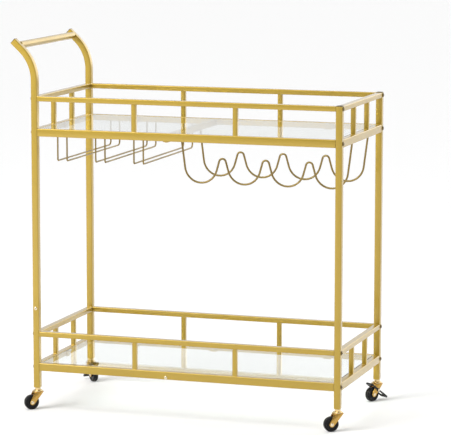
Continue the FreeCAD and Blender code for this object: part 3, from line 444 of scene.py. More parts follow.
finishes = {
    "satinGold": {
        "colour": (0.49, 0.328, 0.033), "deep": (0.40, 0.262, 0.020),
        "metallic": 0.75, "rough": (0.30, 0.40),
        "grain": 1500, "blotch": 9, "bump": 0.05, "coat": 1.0, "coatRough": 0.14, "scratch": 0.10,
    },
    "wireGold": {
        "colour": (0.32, 0.225, 0.070), "deep": (0.20, 0.135, 0.038),
        "metallic": 0.85, "rough": (0.30, 0.42),
        "grain": 1900, "blotch": 30, "bump": 0.06, "coat": 0.2, "coatRough": 0.2, "scratch": 0.08,
    },
    "boltGold": {
        "colour": (0.22, 0.165, 0.075), "deep": (0.12, 0.085, 0.040),
        "metallic": 1.0, "rough": (0.22, 0.36),
        "grain": 2600, "blotch": 120, "bump": 0.03, "scratch": 0.3,
    },
    "brightBrass": {
        "colour": (0.60, 0.375, 0.095), "deep": (0.44, 0.245, 0.045),
        "metallic": 1.0, "rough": (0.12, 0.24),
        "grain": 900, "blotch": 60, "bump": 0.02, "coat": 0.3, "coatRough": 0.05, "scratch": 0.35,
    },
    "paleBrass": {
        "colour": (0.86, 0.68, 0.36), "deep": (0.70, 0.50, 0.22),
        "metallic": 1.0, "rough": (0.10, 0.22),
        "grain": 900, "blotch": 60, "bump": 0.02, "coat": 0.3, "coatRough": 0.05, "scratch": 0.25,
    },
    "brightSteel": {
        "colour": (0.86, 0.76, 0.56), "deep": (0.70, 0.58, 0.38),
        "metallic": 1.0, "rough": (0.14, 0.28),
        "grain": 2400, "blotch": 150, "bump": 0.02, "scratch": 0.35,
    },
    "rawSteel": {
        "colour": (0.56, 0.56, 0.55), "deep": (0.42, 0.42, 0.43),
        "metallic": 1.0, "rough": (0.35, 0.5),
        "grain": 1200, "blotch": 80, "bump": 0.05, "scratch": 0.3,
    },
    "blackSteel": {
        "colour": (0.014, 0.014, 0.015), "deep": (0.009, 0.009, 0.009),
        "metallic": 0.0, "rough": (0.24, 0.36),
        "grain": 1600, "blotch": 60, "bump": 0.05, "scratch": 0.15,
        "specular": 0.3,
    },
    "blackWheel": {
        "colour": (0.009, 0.009, 0.010), "deep": (0.005, 0.005, 0.006),
        "metallic": 0.0, "rough": (0.18, 0.32),
        "grain": 700, "blotch": 90, "bump": 0.04, "scratch": 0.5,
        "specular": 0.22,
    },
    "blackPlastic": {
        "colour": (0.075, 0.062, 0.040), "deep": (0.050, 0.042, 0.028),
        "metallic": 0.0, "rough": (0.45, 0.6),
        "grain": 2200, "blotch": 100, "bump": 0.12, "scratch": 0.1,
    },
    "clearSilicone": {
        "colour": (0.82, 0.84, 0.83), "deep": (0.74, 0.77, 0.76),
        "metallic": 0.0, "rough": (0.3, 0.45),
        "grain": 800, "blotch": 200, "bump": 0.05, "coat": 0.1, "coatRough": 0.3, "scratch": 0.0,
    },
}


def makeFinish(name, look):
    material = bpy.data.materials.new(name)
    material.use_nodes = True
    tree = material.node_tree
    shader = tree.nodes["Principled BSDF"]
    surface = tree.nodes.new("ShaderNodeGroup")
    surface.node_tree = grain
    fill(surface, {"Colour": look["colour"] + (1,), "Deep Colour": look["deep"] + (1,)})
    fill(surface, {"Grain Scale": look["grain"], "Blotch Scale": look["blotch"]})
    fill(surface, {"Rough Low": look["rough"][0], "Rough High": look["rough"][1]})
    marks = tree.nodes.new("ShaderNodeGroup")
    marks.node_tree = scratches
    fill(marks, {"Amount": look["scratch"]})
    rougher = mathNode(tree, "MULTIPLY_ADD", 0.35)
    bump = tree.nodes.new("ShaderNodeBump")
    fill(bump, {"Strength": look["bump"], "Distance": 0.0004})
    wire(
        tree,
        (surface, "Colour", shader, "Base Color"),
        (marks, "Mask", rougher, 0),
        (surface, "Roughness", rougher, 2),
        (rougher, 0, shader, "Roughness"),
        (surface, "Height", bump, "Height"),
        (bump, "Normal", shader, "Normal"),
    )
    fill(shader, {"Metallic": look["metallic"], "Specular IOR Level": look.get("specular", 0.5)})
    if "coat" in look:
        fill(shader, {"Coat Weight": look["coat"], "Coat Roughness": look["coatRough"]})
    return material


def makeGlass(name, colour, rough):  # clear to lamps, with faint wipe marks
    material = bpy.data.materials.new(name)
    material.use_nodes = True
    tree = material.node_tree
    shader = tree.nodes["Principled BSDF"]
    fill(shader, {"Base Color": colour + (1,), "Transmission Weight": 1.0, "IOR": 1.5})
    place = tree.nodes.new("ShaderNodeTexCoord")
    wipes = tree.nodes.new("ShaderNodeTexNoise")
    fill(wipes, {"Scale": 9.0, "Detail": 5.0})
    haze = tree.nodes.new("ShaderNodeMapRange")
    fill(haze, {"From Min": 0.45, "From Max": 0.75, "To Min": rough, "To Max": rough + 0.04})
    path = tree.nodes.new("ShaderNodeLightPath")
    clear = tree.nodes.new("ShaderNodeBsdfTransparent")
    clear.inputs["Color"].default_value = (0.95, 0.97, 0.96, 1)
    mix = tree.nodes.new("ShaderNodeMixShader")
    out = tree.nodes["Material Output"]
    wire(
        tree,
        (place, "Object", wipes, "Vector"),
        (wipes, "Fac", haze, "Value"),
        (haze, "Result", shader, "Roughness"),
        (path, "Is Shadow Ray", mix, 0),
        (shader, 0, mix, 1),
        (clear, 0, mix, 2),
        (mix, 0, out, "Surface"),
    )
    return material


finish = {name: makeFinish(name, look) for name, look in finishes.items()}
finish["clearGlass"] = makeGlass("clearGlass", (0.93, 0.965, 0.955), 0.0)
finish["glassEdge"] = makeGlass("glassEdge", (0.28, 0.40, 0.36), 0.12)
print("finishes made")

# Square tubes

tube = {"corner": 1.8, "wall": 1.2, "endBevel": 0.35}


def tubeAlong(bm, frames, wide, tall):  # frames are (origin, u, v), and u x v is the way along
    bevel = tube["endBevel"] * mm
    corner, wall = tube["corner"] * mm, tube["wall"] * mm
    whole = roundLoop(wide, tall, corner)
    eased = roundLoop(wide - 2 * bevel, tall - 2 * bevel, corner - bevel)
    bore = roundLoop(wide - 2 * wall, tall - 2 * wall, corner - wall)
    (first, u1, v1), (last, u2, v2) = frames[0], frames[-1]
    stations = [(first, u1, v1, eased), (first + u1.cross(v1) * bevel, u1, v1, whole)]
    stations += [(o, u, v, whole) for o, u, v in frames[1:-1]]
    stations += [(last - u2.cross(v2) * bevel, u2, v2, whole), (last, u2, v2, eased)]
    stations += [(o, u, v, bore) for o, u, v in reversed(frames)]
    rings = [[bm.verts.new(o + u * a + v * b) for a, b in loop] for o, u, v, loop in stations]
    join(bm, rings, closed=True)


def straightTube(node):  # along X, Y or Z as the node's box is
    low, high = span(node)
    bm = bmesh.new()
    addStraight(bm, low, high)
    return fromBmesh(node, bm)


def addStraight(bm, low, high):
    size = high - low
    centre = (low + high) / 2
    along = max(range(3), key=lambda i: size[i])
    u, v = axes[(along + 1) % 3], axes[(along + 2) % 3]
    half = axes[along] * size[along] / 2
    frames = [(centre - half, u, v), (centre + half, u, v)]
    tubeAlong(bm, frames, size[(along + 1) % 3], size[(along + 2) % 3])


edges = (*sides, *ends)
plainTubes = [f"{shelf}_{edge}_{kind}" for shelf in shelves for edge in edges for kind in ("rail", "guard")]
plainTubes += ["right_front_post", "right_rear_post", "left_front_lower_post", "left_rear_lower_post"]
for node in plainTubes:
    settle(straightTube(node), finish["satinGold"], "satin_gold", "frame", node)

handlePost = {"bendAbove": 39, "bendRadius": 106, "bendTurn": 47, "tail": 31, "bendSteps": 24}
postTop = span("right_front_post")[1].z
postSide = span("right_front_post")[1].x - span("right_front_post")[0].x


def handleFrames(x, y, seam):
    radius, turn = handlePost["bendRadius"] * mm, handlePost["bendTurn"]
    bend = postTop + handlePost["bendAbove"] * mm
    frames = [(Vector((x, y, seam)), axisX, axisY)]
    for i in range(handlePost["bendSteps"] + 1):
        a = radians(turn * i / handlePost["bendSteps"])
        spot = Vector((x - radius * (1 - cos(a)), y, bend + radius * sin(a)))
        frames.append((spot, Vector((cos(a), 0, sin(a))), axisY))
    spot, u, v = frames[-1]
    frames.append((spot + u.cross(v) * handlePost["tail"] * mm, u, v))
    return frames


for side in sides:
    node = f"left_{side}_handle_post"
    foot = middleOf(f"left_{side}_lower_post")
    bm = bmesh.new()
    tubeAlong(bm, handleFrames(foot.x, foot.y, span(node)[0].z), postSide, postSide)
    settle(fromBmesh(node, bm), finish["satinGold"], "satin_gold", "frame", node)

# Push bar
pushBar = {"wall": 1.2, "endRound": 0.5}
low, high = span("push_bar")
radius = (high.x - low.x) / 2 / mm
long = (high.y - low.y) / 2 / mm
ease, hole = pushBar["endRound"], radius - pushBar["wall"]
profile = [(radius - ease, -long), (radius, ease - long), (radius, long - ease), (radius - ease, long)]
profile += [(hole, long), (hole, -long)]
lying = Euler((pi / 2, 0, 0)).to_matrix().to_4x4()
bm = bmesh.new()
lathe(bm, profile, Matrix.Translation((low + high) / 2) @ lying, 64, closed=True)
settle(fromBmesh("push_bar", bm), finish["satinGold"], "satin_gold", "frame", "push_bar")
print("frame tubes made")

# Balusters, at the thirds of each guarded side
baluster = {"side": 12}
postX = {"left": middleOf("left_front_lower_post").x, "right": middleOf("right_front_post").x}
postY = {side: middleOf(f"right_{side}_post").y for side in sides}
middleX = (postX["left"] + postX["right"]) / 2
spanX, spanY = postX["right"] - postX["left"], postY["rear"] - postY["front"]
balusterSpots = {}
for shelf in shelves:
    low, high = span(f"{shelf}_front_rail")[1].z, span(f"{shelf}_front_guard")[0].z
    longSpots = [(middleX + way * spanX / 6, y) for way in (-1, 1) for y in postY.values()]
    endSpots = [(x, way * spanY / 6) for way in (-1, 1) for x in postX.values()]
    for along, spots in (("long", longSpots), ("end", endSpots)):
        half = baluster["side"] / 2 * mm
        bm = bmesh.new()
        addStraight(bm, Vector((-half, -half, low)), Vector((half, half, high)))
        bar = fromBmesh("balusterShape", bm)
        node = f"{shelf}_{along}_balusters"
        piece = setOut(node, bar, [(Vector((x, y, 0)), (0, 0, 0)) for x, y in spots], finish["satinGold"])
        settle(piece, finish["satinGold"], "satin_gold", "frame", node)
        balusterSpots[node] = (spots, low, high)

# Weld beads where rails, balusters and wires meet
weld = {"bead": 0.8, "sunk": 0.35, "wireBead": 0.7, "step": 1.1}


def squareLine(centre, u, v, wide, tall):
    sunk = weld["sunk"] * mm
    loop = roundLoop(wide - 2 * sunk, tall - 2 * sunk, (tube["corner"] - weld["sunk"]) * mm, 3)
    return [centre + u * a + v * b for a, b in loop]


beads = []
for shelf in shelves:
    for end in ends:
        for kind in ("rail", "guard"):
            low, high = span(f"{shelf}_{end}_{kind}")
            centre = (low + high) / 2
            for y in (low.y, high.y):
                spot = Vector((centre.x, y, centre.z))
                wide, tall = high.x - low.x, high.z - low.z
                beads.append(squareLine(spot, axisX, axisZ, wide, tall))
for spots, low, high in balusterSpots.values():
    wide = baluster["side"] * mm
    for x, y in spots:
        for z in (low, high):
            beads.append(squareLine(Vector((x, y, z)), axisX, axisY, wide, wide))
values = {"Radius": weld["bead"] * mm, "Step": weld["step"] * mm, "Material": finish["satinGold"]}
piece = grow("frameWelds", lineMesh(beads, True), weldTree, values)
settle(piece, finish["satinGold"], "satin_gold", "frame")
print("balusters and welds made")

# Glass shelves, their pads and brackets
glass = {"corner": 5, "arris": 0.7}
bracket = {"thick": 2, "wide": 20, "deep": 14, "leg": 15, "outerBend": 2.6, "innerBend": 0.6, "ease": 0.3}
padDisc = {"round": 9, "thick": 1.5, "ease": 0.4, "past": 1}
crossbarX = middleOf("rack_crossbar").x


def glassPlate(node):
    low, high = span(node)
    size, centre = high - low, (low + high) / 2
    corner, arris = glass["corner"] * mm, glass["arris"] * mm
    levels = ((low.z, arris), (low.z + arris, 0), (high.z - arris, 0), (high.z, arris))
    bm = bmesh.new()
    rings = []
    for z, inset in levels:
        loop = roundLoop(size.x - 2 * inset, size.y - 2 * inset, corner - inset, 6)
        rings.append([bm.verts.new(Vector((centre.x + a, centre.y + b, z))) for a, b in loop])
    closeEnds(bm, rings)
    piece = fromBmesh(node, bm, 25)
    settle(piece, finish["clearGlass"], "clear_glass", "frame", node)
    piece.data.materials.append(finish["glassEdge"])
    for face in piece.data.polygons:
        face.material_index = 0 if abs(face.normal.z) > 0.9 else 1


bracketSpots, padSpots = [], []
for name in shelves:
    glassPlate(f"{name}_glass")
    top = span(f"{name}_glass")[0].z - padDisc["thick"] * mm
    inset = (bracket["deep"] / 2 + padDisc["past"]) * mm
    innerX = spanX / 2 - postSide / 2
    innerY = spanY / 2 - postSide / 2
    spots = [(middleX - innerX, 0, 0), (middleX + innerX, 0, pi)]
    alongX = [middleX - spanX / 3, middleX + spanX / 3] + ([crossbarX] if name == "lower" else [])
    spots += [(x, -innerY, pi / 2) for x in alongX] + [(x, innerY, -pi / 2) for x in alongX]
    for x, y, turn in spots:
        bracketSpots.append((Vector((x, y, top)), (0, 0, turn)))
        padSpots.append((Vector((x + inset * cos(turn), y + inset * sin(turn), top)), (0, 0, 0)))

thick, deep, leg = bracket["thick"], bracket["deep"], bracket["leg"]
outer, inner = bracket["outerBend"], bracket["innerBend"]
profile = [(0, -leg)] + arc(outer, -outer, outer, 180, -90, 6) + [(deep, 0), (deep, -thick)]
profile += arc(thick + inner, -thick - inner, inner, 90, 90, 4) + [(thick, -leg)]
bm = bmesh.new()
plate(bm, profile, -bracket["wide"] / 2, bracket["wide"] / 2, upright)
easeEdges(bm, bracket["ease"])
piece = setOut("glass_brackets", fromBmesh("bracketShape", bm), bracketSpots, finish["satinGold"])
settle(piece, finish["satinGold"], "satin_gold", "frame", "glass_brackets")

thick, radius, ease = padDisc["thick"], padDisc["round"] / 2, padDisc["ease"]
disc = [(0, 0), (radius - ease, 0), (radius, ease)]
disc += [(radius, thick - ease), (radius - ease, thick), (0, thick)]
bm = bmesh.new()
lathe(bm, disc, steps=32)
piece = setOut("glass_pads", fromBmesh("padShape", bm), padSpots, finish["clearSilicone"])
settle(piece, finish["clearSilicone"], "clear_silicone", "frame", "glass_pads")
print("shelves made")

# Rack crossbar with its ears, and the two racks
crossbar = {"tall": 13, "ear": 2, "earCorner": 4, "earEase": 0.3}
stemRack = {"wire": 4, "slot": 25, "drop": 60, "frontBend": 5, "rearBend": 11}
bottleRack = {
    "wire": 5, "cradle": 43, "crest": 9, "drop": 114, "rise": 63,
    "margin": 9.7, "cradles": 4, "weldGap": 0.7, "cradleSteps": 18, "crestSteps": 12,
}
railUnder = span("upper_front_rail")[0].z
low, high = span("rack_crossbar")
insideY = spanY - postSide
bm = bmesh.new()
halfX, halfY, top = postSide / 2, insideY / 2, railUnder + crossbar["tall"] * mm
addStraight(bm, Vector((crossbarX - halfX, -halfY, railUnder)), Vector((crossbarX + halfX, halfY, top)))
ear = bmesh.new()
loop = roundLoop(postSide / mm, (high.y - low.y) / mm, crossbar["earCorner"], 5)
plate(ear, loop, -crossbar["ear"], 0, Matrix.Translation((crossbarX, 0, railUnder)))
easeEdges(ear, crossbar["earEase"])
earMesh = bpy.data.meshes.new("ears")
ear.to_mesh(earMesh)
ear.free()
bm.from_mesh(earMesh)
settle(fromBmesh("rack_crossbar", bm), finish["satinGold"], "satin_gold", "frame", "rack_crossbar")

wireEnds = []
for name in ("left", "middle", "right"):
    node = f"{name}_stem_wires"
    centre = middleOf(node).x
    drop, front, rear = stemRack["drop"] * mm, stemRack["frontBend"] * mm, stemRack["rearBend"] * mm
    bottom = railUnder - drop
    half = spanY / 2
    flat = [(-half, railUnder)] + arc(front - half, bottom + front, front, 180, 90, 8)
    flat += arc(half - rear, bottom + rear, rear, 270, 90, 12) + [(half, railUnder)]
    lines = []
    for way in (-1, 1):
        x = centre + way * stemRack["slot"] / 2 * mm
        lines.append([Vector((x, y, z)) for y, z in flat])
        wireEnds += [(Vector((x, y, railUnder)), stemRack["wire"]) for y in (-half, half)]
    values = {"Radius": stemRack["wire"] / 2 * mm, "Material": finish["wireGold"]}
    piece = grow(node, lineMesh(lines, False), rodTree, values)
    settle(piece, finish["wireGold"], "wire_gold", "frame", node)


def tangent(c1, r1, c2, r2, way):  # ends of the crossing tangent between two circles
    gap = c2 - c1
    unit = gap.normalized()
    lean = (r1 + r2) / gap.length
    away = unit * lean + Vector((unit.y, -unit.x)) * way * sqrt(1 - lean * lean)
    return c1 + away * r1, c2 - away * r2


def bend(centre, radius, start, stop, way, steps):  # points of an arc from one point to the other
    a = atan2(start.y - centre.y, start.x - centre.x)
    b = atan2(stop.y - centre.y, stop.x - centre.x)
    turn = (b - a) % (2 * pi) if way > 0 else -((a - b) % (2 * pi))
    angles = [a + turn * i / steps for i in range(steps + 1)]
    return [centre + Vector((cos(angle), sin(angle))) * radius for angle in angles]


def bottleLine():
    cradle, crest = bottleRack["cradle"], bottleRack["crest"]
    halfBay = (postX["right"] - crossbarX) / 2 / mm
    run = 2 * (halfBay - cradle - bottleRack["margin"])
    steps = bottleRack["cradles"] - 1
    circles = []
    for i in range(2 * steps + 1):
        x, isCradle = run * (i / (2 * steps) - 0.5), i % 2 == 0
        y = cradle - bottleRack["drop"] if isCradle else bottleRack["rise"] - bottleRack["drop"] - crest
        circles.append((Vector((x, y)), cradle if isCradle else crest, 1 if isCradle else -1))
    left, right = Vector((-halfBay, 0)), Vector((halfBay, crossbar["ear"] - bottleRack["weldGap"]))
    legs = [tangent(circles[0][0], cradle, left, 0, -1)[::-1]]
    for (centre, radius, way), (after, nextRadius, _) in zip(circles, circles[1:]):
        legs.append(tangent(centre, radius, after, nextRadius, way))
    legs.append(tangent(circles[-1][0], cradle, right, 0, 1))
    points = [left]
    for i, (centre, radius, way) in enumerate(circles):
        steps = bottleRack["cradleSteps" if way > 0 else "crestSteps"]
        points += bend(centre, radius, legs[i][1], legs[i + 1][0], way, steps)
    return points + [right]


rackMiddle = (crossbarX + postX["right"]) / 2
outline = bottleLine()
for side in sides:
    node = f"{side}_bottle_wire"
    y = middleOf(node).y
    base = railUnder - crossbar["ear"] * mm
    line = [Vector((rackMiddle + p.x * mm, y, base + p.y * mm)) for p in outline]
    values = {"Radius": bottleRack["wire"] / 2 * mm, "Facets": 24, "Material": finish["wireGold"]}
    piece = grow(node, lineMesh([line], False), rodTree, values)
    settle(piece, finish["wireGold"], "wire_gold", "frame", node)
    wireEnds += [(line[0], bottleRack["wire"]), (line[-1], bottleRack["wire"])]
rings = []
for spot, width in wireEnds:
    rings.append([spot + Vector((x, y, 0)) * mm for x, y in arc(0, 0, width / 2, 0, 350, 12)])
values = {"Radius": weld["wireBead"] * mm, "Step": weld["step"] * mm, "Material": finish["wireGold"]}
piece = grow("wireWelds", lineMesh(rings, True), weldTree, values)
settle(piece, finish["wireGold"], "wire_gold", "frame")
print("racks made")

# Fasteners: pan head screws with a cross recess, button head bolts with a hexagon
screw = {
    "head": 8.5, "tall": 2.2, "shank": 4, "domeFrom": 0.45, "short": 5.8, "long": 21.5, "aboveSeam": 16,
    "cross": 4.4, "slot": 1.0, "recess": 1.5, "floorShare": 0.45, "mouthShare": 1.05,
}
bolt = {"head": 10.5, "tall": 3, "shank": 6, "domeFrom": 0.45, "long": 29.5, "hexagon": 4, "recess": 1.9}
fastenerEdge = {"tip": 0.4, "tipLong": 0.5, "rim": 0.3}


def carve(solid, cutter):  # the mesh of one solid less another
    body, tool = fromBmesh("wholeShape", solid), fromBmesh("cutterShape", cutter)
    cut = body.modifiers.new("carve", "BOOLEAN")
    cut.operation = "DIFFERENCE"
    cut.solver = "EXACT"
    cut.object = tool
    graph = bpy.context.evaluated_depsgraph_get()
    mesh = bpy.data.meshes.new_from_object(body.evaluated_get(graph), depsgraph=graph)
    bpy.data.objects.remove(body)
    bpy.data.objects.remove(tool)
    return mesh


def fastener(name, look, long, cutter):
    head, tall, shank = look["head"] / 2, look["tall"], look["shank"] / 2
    edge = tall * look["domeFrom"]
    tip, tipLong, rim = fastenerEdge["tip"], fastenerEdge["tipLong"], fastenerEdge["rim"]
    dome = [(head * cos(radians(a)), edge + (tall - edge) * sin(radians(a))) for a in range(0, 90, 18)]
    profile = [(0, -long), (shank - tip, -long), (shank, tipLong - long)]
    profile += [(shank, 0), (head - rim, 0), (head, rim)]
    bm = bmesh.new()
    lathe(bm, profile + dome + [(0, tall)], steps=32)
    return newPiece(name, carve(bm, cutter))


def crossCutter():
    bm = bmesh.new()
    reach, half = screw["cross"] / 2, screw["slot"] / 2
    cross = [(reach, -half), (reach, half), (half, half), (half, reach), (-half, reach), (-half, half)]
    cross += [(-x, -y) for x, y in cross]
    floor = screw["tall"] - screw["recess"]
    rings = []
    for z, size in ((floor, screw["floorShare"]), (screw["tall"] + 1, screw["mouthShare"])):
        rings.append([bm.verts.new(Vector((x * size, y * size, z)) * mm) for x, y in cross])
    closeEnds(bm, rings)
    return bm


def hexCutter():
    bm = bmesh.new()
    across = bolt["hexagon"] / sqrt(3)
    floor = bolt["tall"] - bolt["recess"]
    plate(bm, arc(0, 0, across, 0, 300, 5), floor, bolt["tall"] + 1)
    return bm


outward = {"front": (pi / 2, 0, 0), "rear": (-pi / 2, 0, 0), "left": (0, -pi / 2, 0), "right": (0, pi / 2, 0)}
boltSpots = []
for end, way in ends.items():
    for side in sides:
        for name in shelves:
            for kind in ("rail", "guard"):
                z = middleOf(f"{name}_front_{kind}").z
                spot = Vector((postX[end] + way * postSide / 2, postY[side], z))
                boltSpots.append((spot, outward[end]))
shape = fastener("boltShape", bolt, bolt["long"], hexCutter())
piece = setOut("frame_bolts", shape, boltSpots, finish["boltGold"])
settle(piece, finish["boltGold"], "bolt_gold", "frame", "frame_bolts")

screwLevel = span("left_front_lower_post")[1].z + screw["aboveSeam"] * mm
bracketLevel = span("lower_glass")[0].z - (padDisc["thick"] + bracket["leg"] / 2) * mm
shortSpots, longSpots = [], []
for side, way in sides.items():
    face = postY[side] + way * postSide / 2
    shortSpots.append((Vector((postX["left"], face, screwLevel)), outward[side]))
    shortSpots.append((Vector((crossbarX, postY[side], railUnder - crossbar["ear"] * mm)), (pi, 0, 0)))
    longSpots.append((Vector((crossbarX, face, bracketLevel)), outward[side]))
for name, spots, long in (("panHeadScrews", shortSpots, "short"), ("bracketScrews", longSpots, "long")):
    shape = fastener("screwShape", screw, screw[long], crossCutter())
    piece = setOut(name, shape, spots, finish["brightSteel"])
    settle(piece, finish["brightSteel"], "bright_steel", "frame", "pan_head_screws")

# Post caps, with a thin flange over the tube's end
cap = {
    "flange": 1.0, "edge": 0.6, "dome": 0.5, "deep": 3, "inside": 13.9,
    "flangeInset": 0.2, "easeInset": 1.2, "domeInset": 6,
    "insideCorner": 1.0, "flangeCorner": 1.7, "easeCorner": 1.4,
}
whole = postSide / mm
levels = [(cap["inside"], cap["insideCorner"], z) for z in (-cap["deep"], 0)]
levels += [(whole - cap["flangeInset"], cap["flangeCorner"], z) for z in (0, cap["edge"])]
levels.append((whole - cap["easeInset"], cap["easeCorner"], cap["flange"]))
levels.append((whole - cap["domeInset"], cap["insideCorner"], cap["flange"] + cap["dome"]))
bm = bmesh.new()
rings = []
for wide, corner, z in levels:
    rings.append([bm.verts.new(Vector((a, b, z)) * mm) for a, b in roundLoop(wide, wide, corner)])
closeEnds(bm, rings)
shape = fromBmesh("capShape", bm)
capSpots = [(Vector((postX["right"], y, postTop)), (0, 0, 0)) for y in postY.values()]
for y in postY.values():
    tip = handleFrames(postX["left"], y, 0)[-1][0]
    capSpots.append((tip, (0, -radians(handlePost["bendTurn"]), 0)))
piece = setOut("post_caps", shape, capSpots, finish["blackPlastic"])
settle(piece, finish["blackPlastic"], "black_plastic", "frame", "post_caps")
print("fasteners and caps made")

# Casters
caster = {
    "fork": {"front": 13, "back": 11, "eye": 6.6, "gap": 16, "cheek": 2, "ease": 0.45, "sunk": 0.4},
    "swivel": {"round": 30, "thick": 2.5, "edge": 0.8, "easeIn": 0.2, "easeDown": 0.3, "clear": 0.05},
    "cup": {"round": 25, "tall": 4.2, "rim": 1.7, "lip": 0.4, "shoulder": 1.2, "slope": 0.3},
    "collar": {"round": 15, "tall": 6, "flare": 1.2, "foot": 0.4, "ease": 0.7},
    "stem": {"round": 8, "long": 22, "head": 13, "headTall": 2, "headEase": 0.8, "tip": 1},
    "play": 0.3,
}
wheel = {
    "wide": 14, "corner": 3.6, "dish": 1.6, "slope": 1.2, "land": 1.4, "landEase": 0.3, "landDrop": 0.1,
    "boss": 5, "bore": 2.55, "bossOut": 0.7, "bossEase": 0.4,
    "seam": 0.12, "seamHalf": 0.25, "seamFloor": 0.12,
}
axle = {"round": 5, "head": 8.6, "tall": 1.8}
brake = {
    "back": 28, "below": 9, "front": 27, "level": 7, "pivot": 4, "tall": 4.6, "arm": 1.6, "bridge": 6,
    "outerCorner": 3, "innerCorner": 1.2, "boss": 4.6, "bore": 2.05, "proud": 0.15, "ease": 0.4,
    "ribs": 3, "ribHigh": 0.5, "ribSunk": 0.2, "ribWide": 0.9, "ribCorner": 0.4, "ribInset": 6,
    "pin": 4, "pinHead": 7, "pinTall": 1.4,
}
corners = [f"{end}_{side}" for end in ends for side in sides]
postEnd = span("right_front_post")[0].z / mm
wheelHigh = span("left_front_wheel")[1].z / mm
wheelRadius = wheelHigh / 2
jointSpots = {joint["name"]: Vector(joint.get("pos_m", (0, 0, 0))) for joint in frame["joints"]}
swivelTop = postEnd - caster["collar"]["tall"] - caster["cup"]["tall"] - caster["play"]
swivelUnder = swivelTop - caster["swivel"]["thick"]
forkHalf = caster["fork"]["gap"] / 2 + caster["fork"]["cheek"]
armInside = forkHalf + 2 * caster["play"]
shoeLevel = postEnd - brake["below"]
brakeRun = brake["back"] + brake["front"]
pivotLevel = shoeLevel - (brake["back"] - brake["pivot"]) * (shoeLevel - brake["level"]) / brakeRun


def cornerPlace(name):  # the caster's own frame: it trails towards -X before it is turned
    end, side = name.split("_")
    pivot, hub = Vector((postX[end], postY[side], 0)), jointSpots[f"{name}_roll"]
    turn = atan2(pivot.y - hub.y, pivot.x - hub.x)
    trail = sqrt((pivot.x - hub.x) ** 2 + (pivot.y - hub.y) ** 2) / mm
    return Matrix.Translation(pivot) @ Matrix.Rotation(turn, 4, "Z"), trail


def addStem(bm, place):
    cup, collar, stem = caster["cup"], caster["collar"], caster["stem"]
    base, head = swivelTop + caster["play"], swivelUnder - caster["play"]
    rim, shoulder, tip = base + cup["rim"], base + cup["tall"], postEnd + stem["long"]
    cupRound, collarRound, stemRound = (look["round"] / 2 for look in (cup, collar, stem))
    headRound = stem["head"] / 2
    profile = [(0, head - stem["headTall"]), (headRound - stem["headEase"], head - stem["headTall"])]
    profile += [(headRound, head - stem["headTall"] / 2), (headRound, head)]
    profile += [(stemRound, head), (stemRound, base)]
    profile += [(cupRound - cup["lip"], base), (cupRound, base + cup["lip"]), (cupRound, rim)]
    profile += [(cupRound - cup["shoulder"], rim + cup["shoulder"])]
    profile += [(collarRound + collar["flare"], shoulder - cup["slope"])]
    profile += [(collarRound, shoulder + collar["foot"]), (collarRound, postEnd - collar["ease"])]
    profile += [(collarRound - collar["ease"], postEnd), (stemRound, postEnd)]
    profile += [(stemRound, tip - stem["tip"]), (stemRound - stem["tip"], tip), (0, tip)]
    lathe(bm, profile, place)


def addFork(bm, place, trail):
    look, swivel = caster["fork"], caster["swivel"]
    eye, top = Vector((-trail, wheelRadius)), swivelTop - look["sunk"]
    back, front = Vector((-look["back"], top)), Vector((look["front"], top))
    left = tangent(eye, look["eye"], back, 0, -1)[0]
    right = tangent(eye, look["eye"], front, 0, 1)[0]
    outline = [tuple(back)] + [tuple(p) for p in bend(eye, look["eye"], left, right, 1, 24)] + [tuple(front)]
    for way in (-1, 1):
        near, far = sorted((way * look["gap"] / 2, way * forkHalf))
        plate(bm, outline, near, far, place @ upright)
    easeEdges(bm, look["ease"])
    edge, radius, hole = swivel["edge"], swivel["round"] / 2, caster["stem"]["round"] / 2 + swivel["clear"]
    under, down = radius - swivel["easeIn"], swivel["easeDown"]
    profile = [(hole, swivelUnder), (radius - edge, swivelUnder), (under, swivelUnder + down)]
    profile += [(radius, swivelUnder + edge), (radius, swivelTop - edge), (under, swivelTop - down)]
    profile += [(radius - edge, swivelTop), (hole, swivelTop)]
    lathe(bm, profile, place, 56, closed=True)


def acrossPlace(place, x, z):  # local Z along the wheel's axle
    return place @ Matrix.Translation(Vector((x, 0, z)) * mm) @ Matrix.Rotation(pi / 2, 4, "X")


def addWheel(bm, place, trail):
    half, corner = wheel["wide"] / 2, wheel["corner"]
    dish, boss = half - wheel["dish"], half + wheel["bossOut"]
    ring = wheelRadius - corner - wheel["land"]
    right = [(wheel["bore"], boss), (wheel["boss"] - wheel["bossEase"], boss)]
    right += [(wheel["boss"], boss - wheel["bossEase"]), (wheel["boss"] + wheel["slope"], dish)]
    right += [(ring - wheel["slope"], dish), (ring - wheel["landEase"], half - wheel["landDrop"])]
    right += [(ring + wheel["landEase"], half)]
    right += arc(wheelRadius - corner, half - corner, corner, 90, -90, 9)
    right += [(wheelRadius, wheel["seamHalf"]), (wheelRadius - wheel["seam"], wheel["seamFloor"])]
    profile = right + [(r, -z) for r, z in reversed(right)]
    lathe(bm, profile, acrossPlace(place, -trail, wheelRadius), 72, closed=True)


def rivetHead(shank, far, head, tall):  # outline of a domed head past far
    angles = [radians(a) for a in (0, 22, 45, 68)]
    dome = [(head / 2 * cos(a), far + tall * (0.35 + 0.65 * sin(a))) for a in angles]
    return [(shank / 2, far), (head / 2, far)] + dome + [(0, far + tall)]


def addRivet(bm, place, shank, near, far, head, tall):  # along local Z from near to its head
    lathe(bm, [(0, near), (shank / 2, near)] + rivetHead(shank, far, head, tall), place, 32)


def addAxle(bm, place, shank, far, head, tall):  # a pin with a head at both ends
    right = rivetHead(shank, far, head, tall)
    lathe(bm, [(r, -z) for r, z in reversed(right)] + right, place, 32)


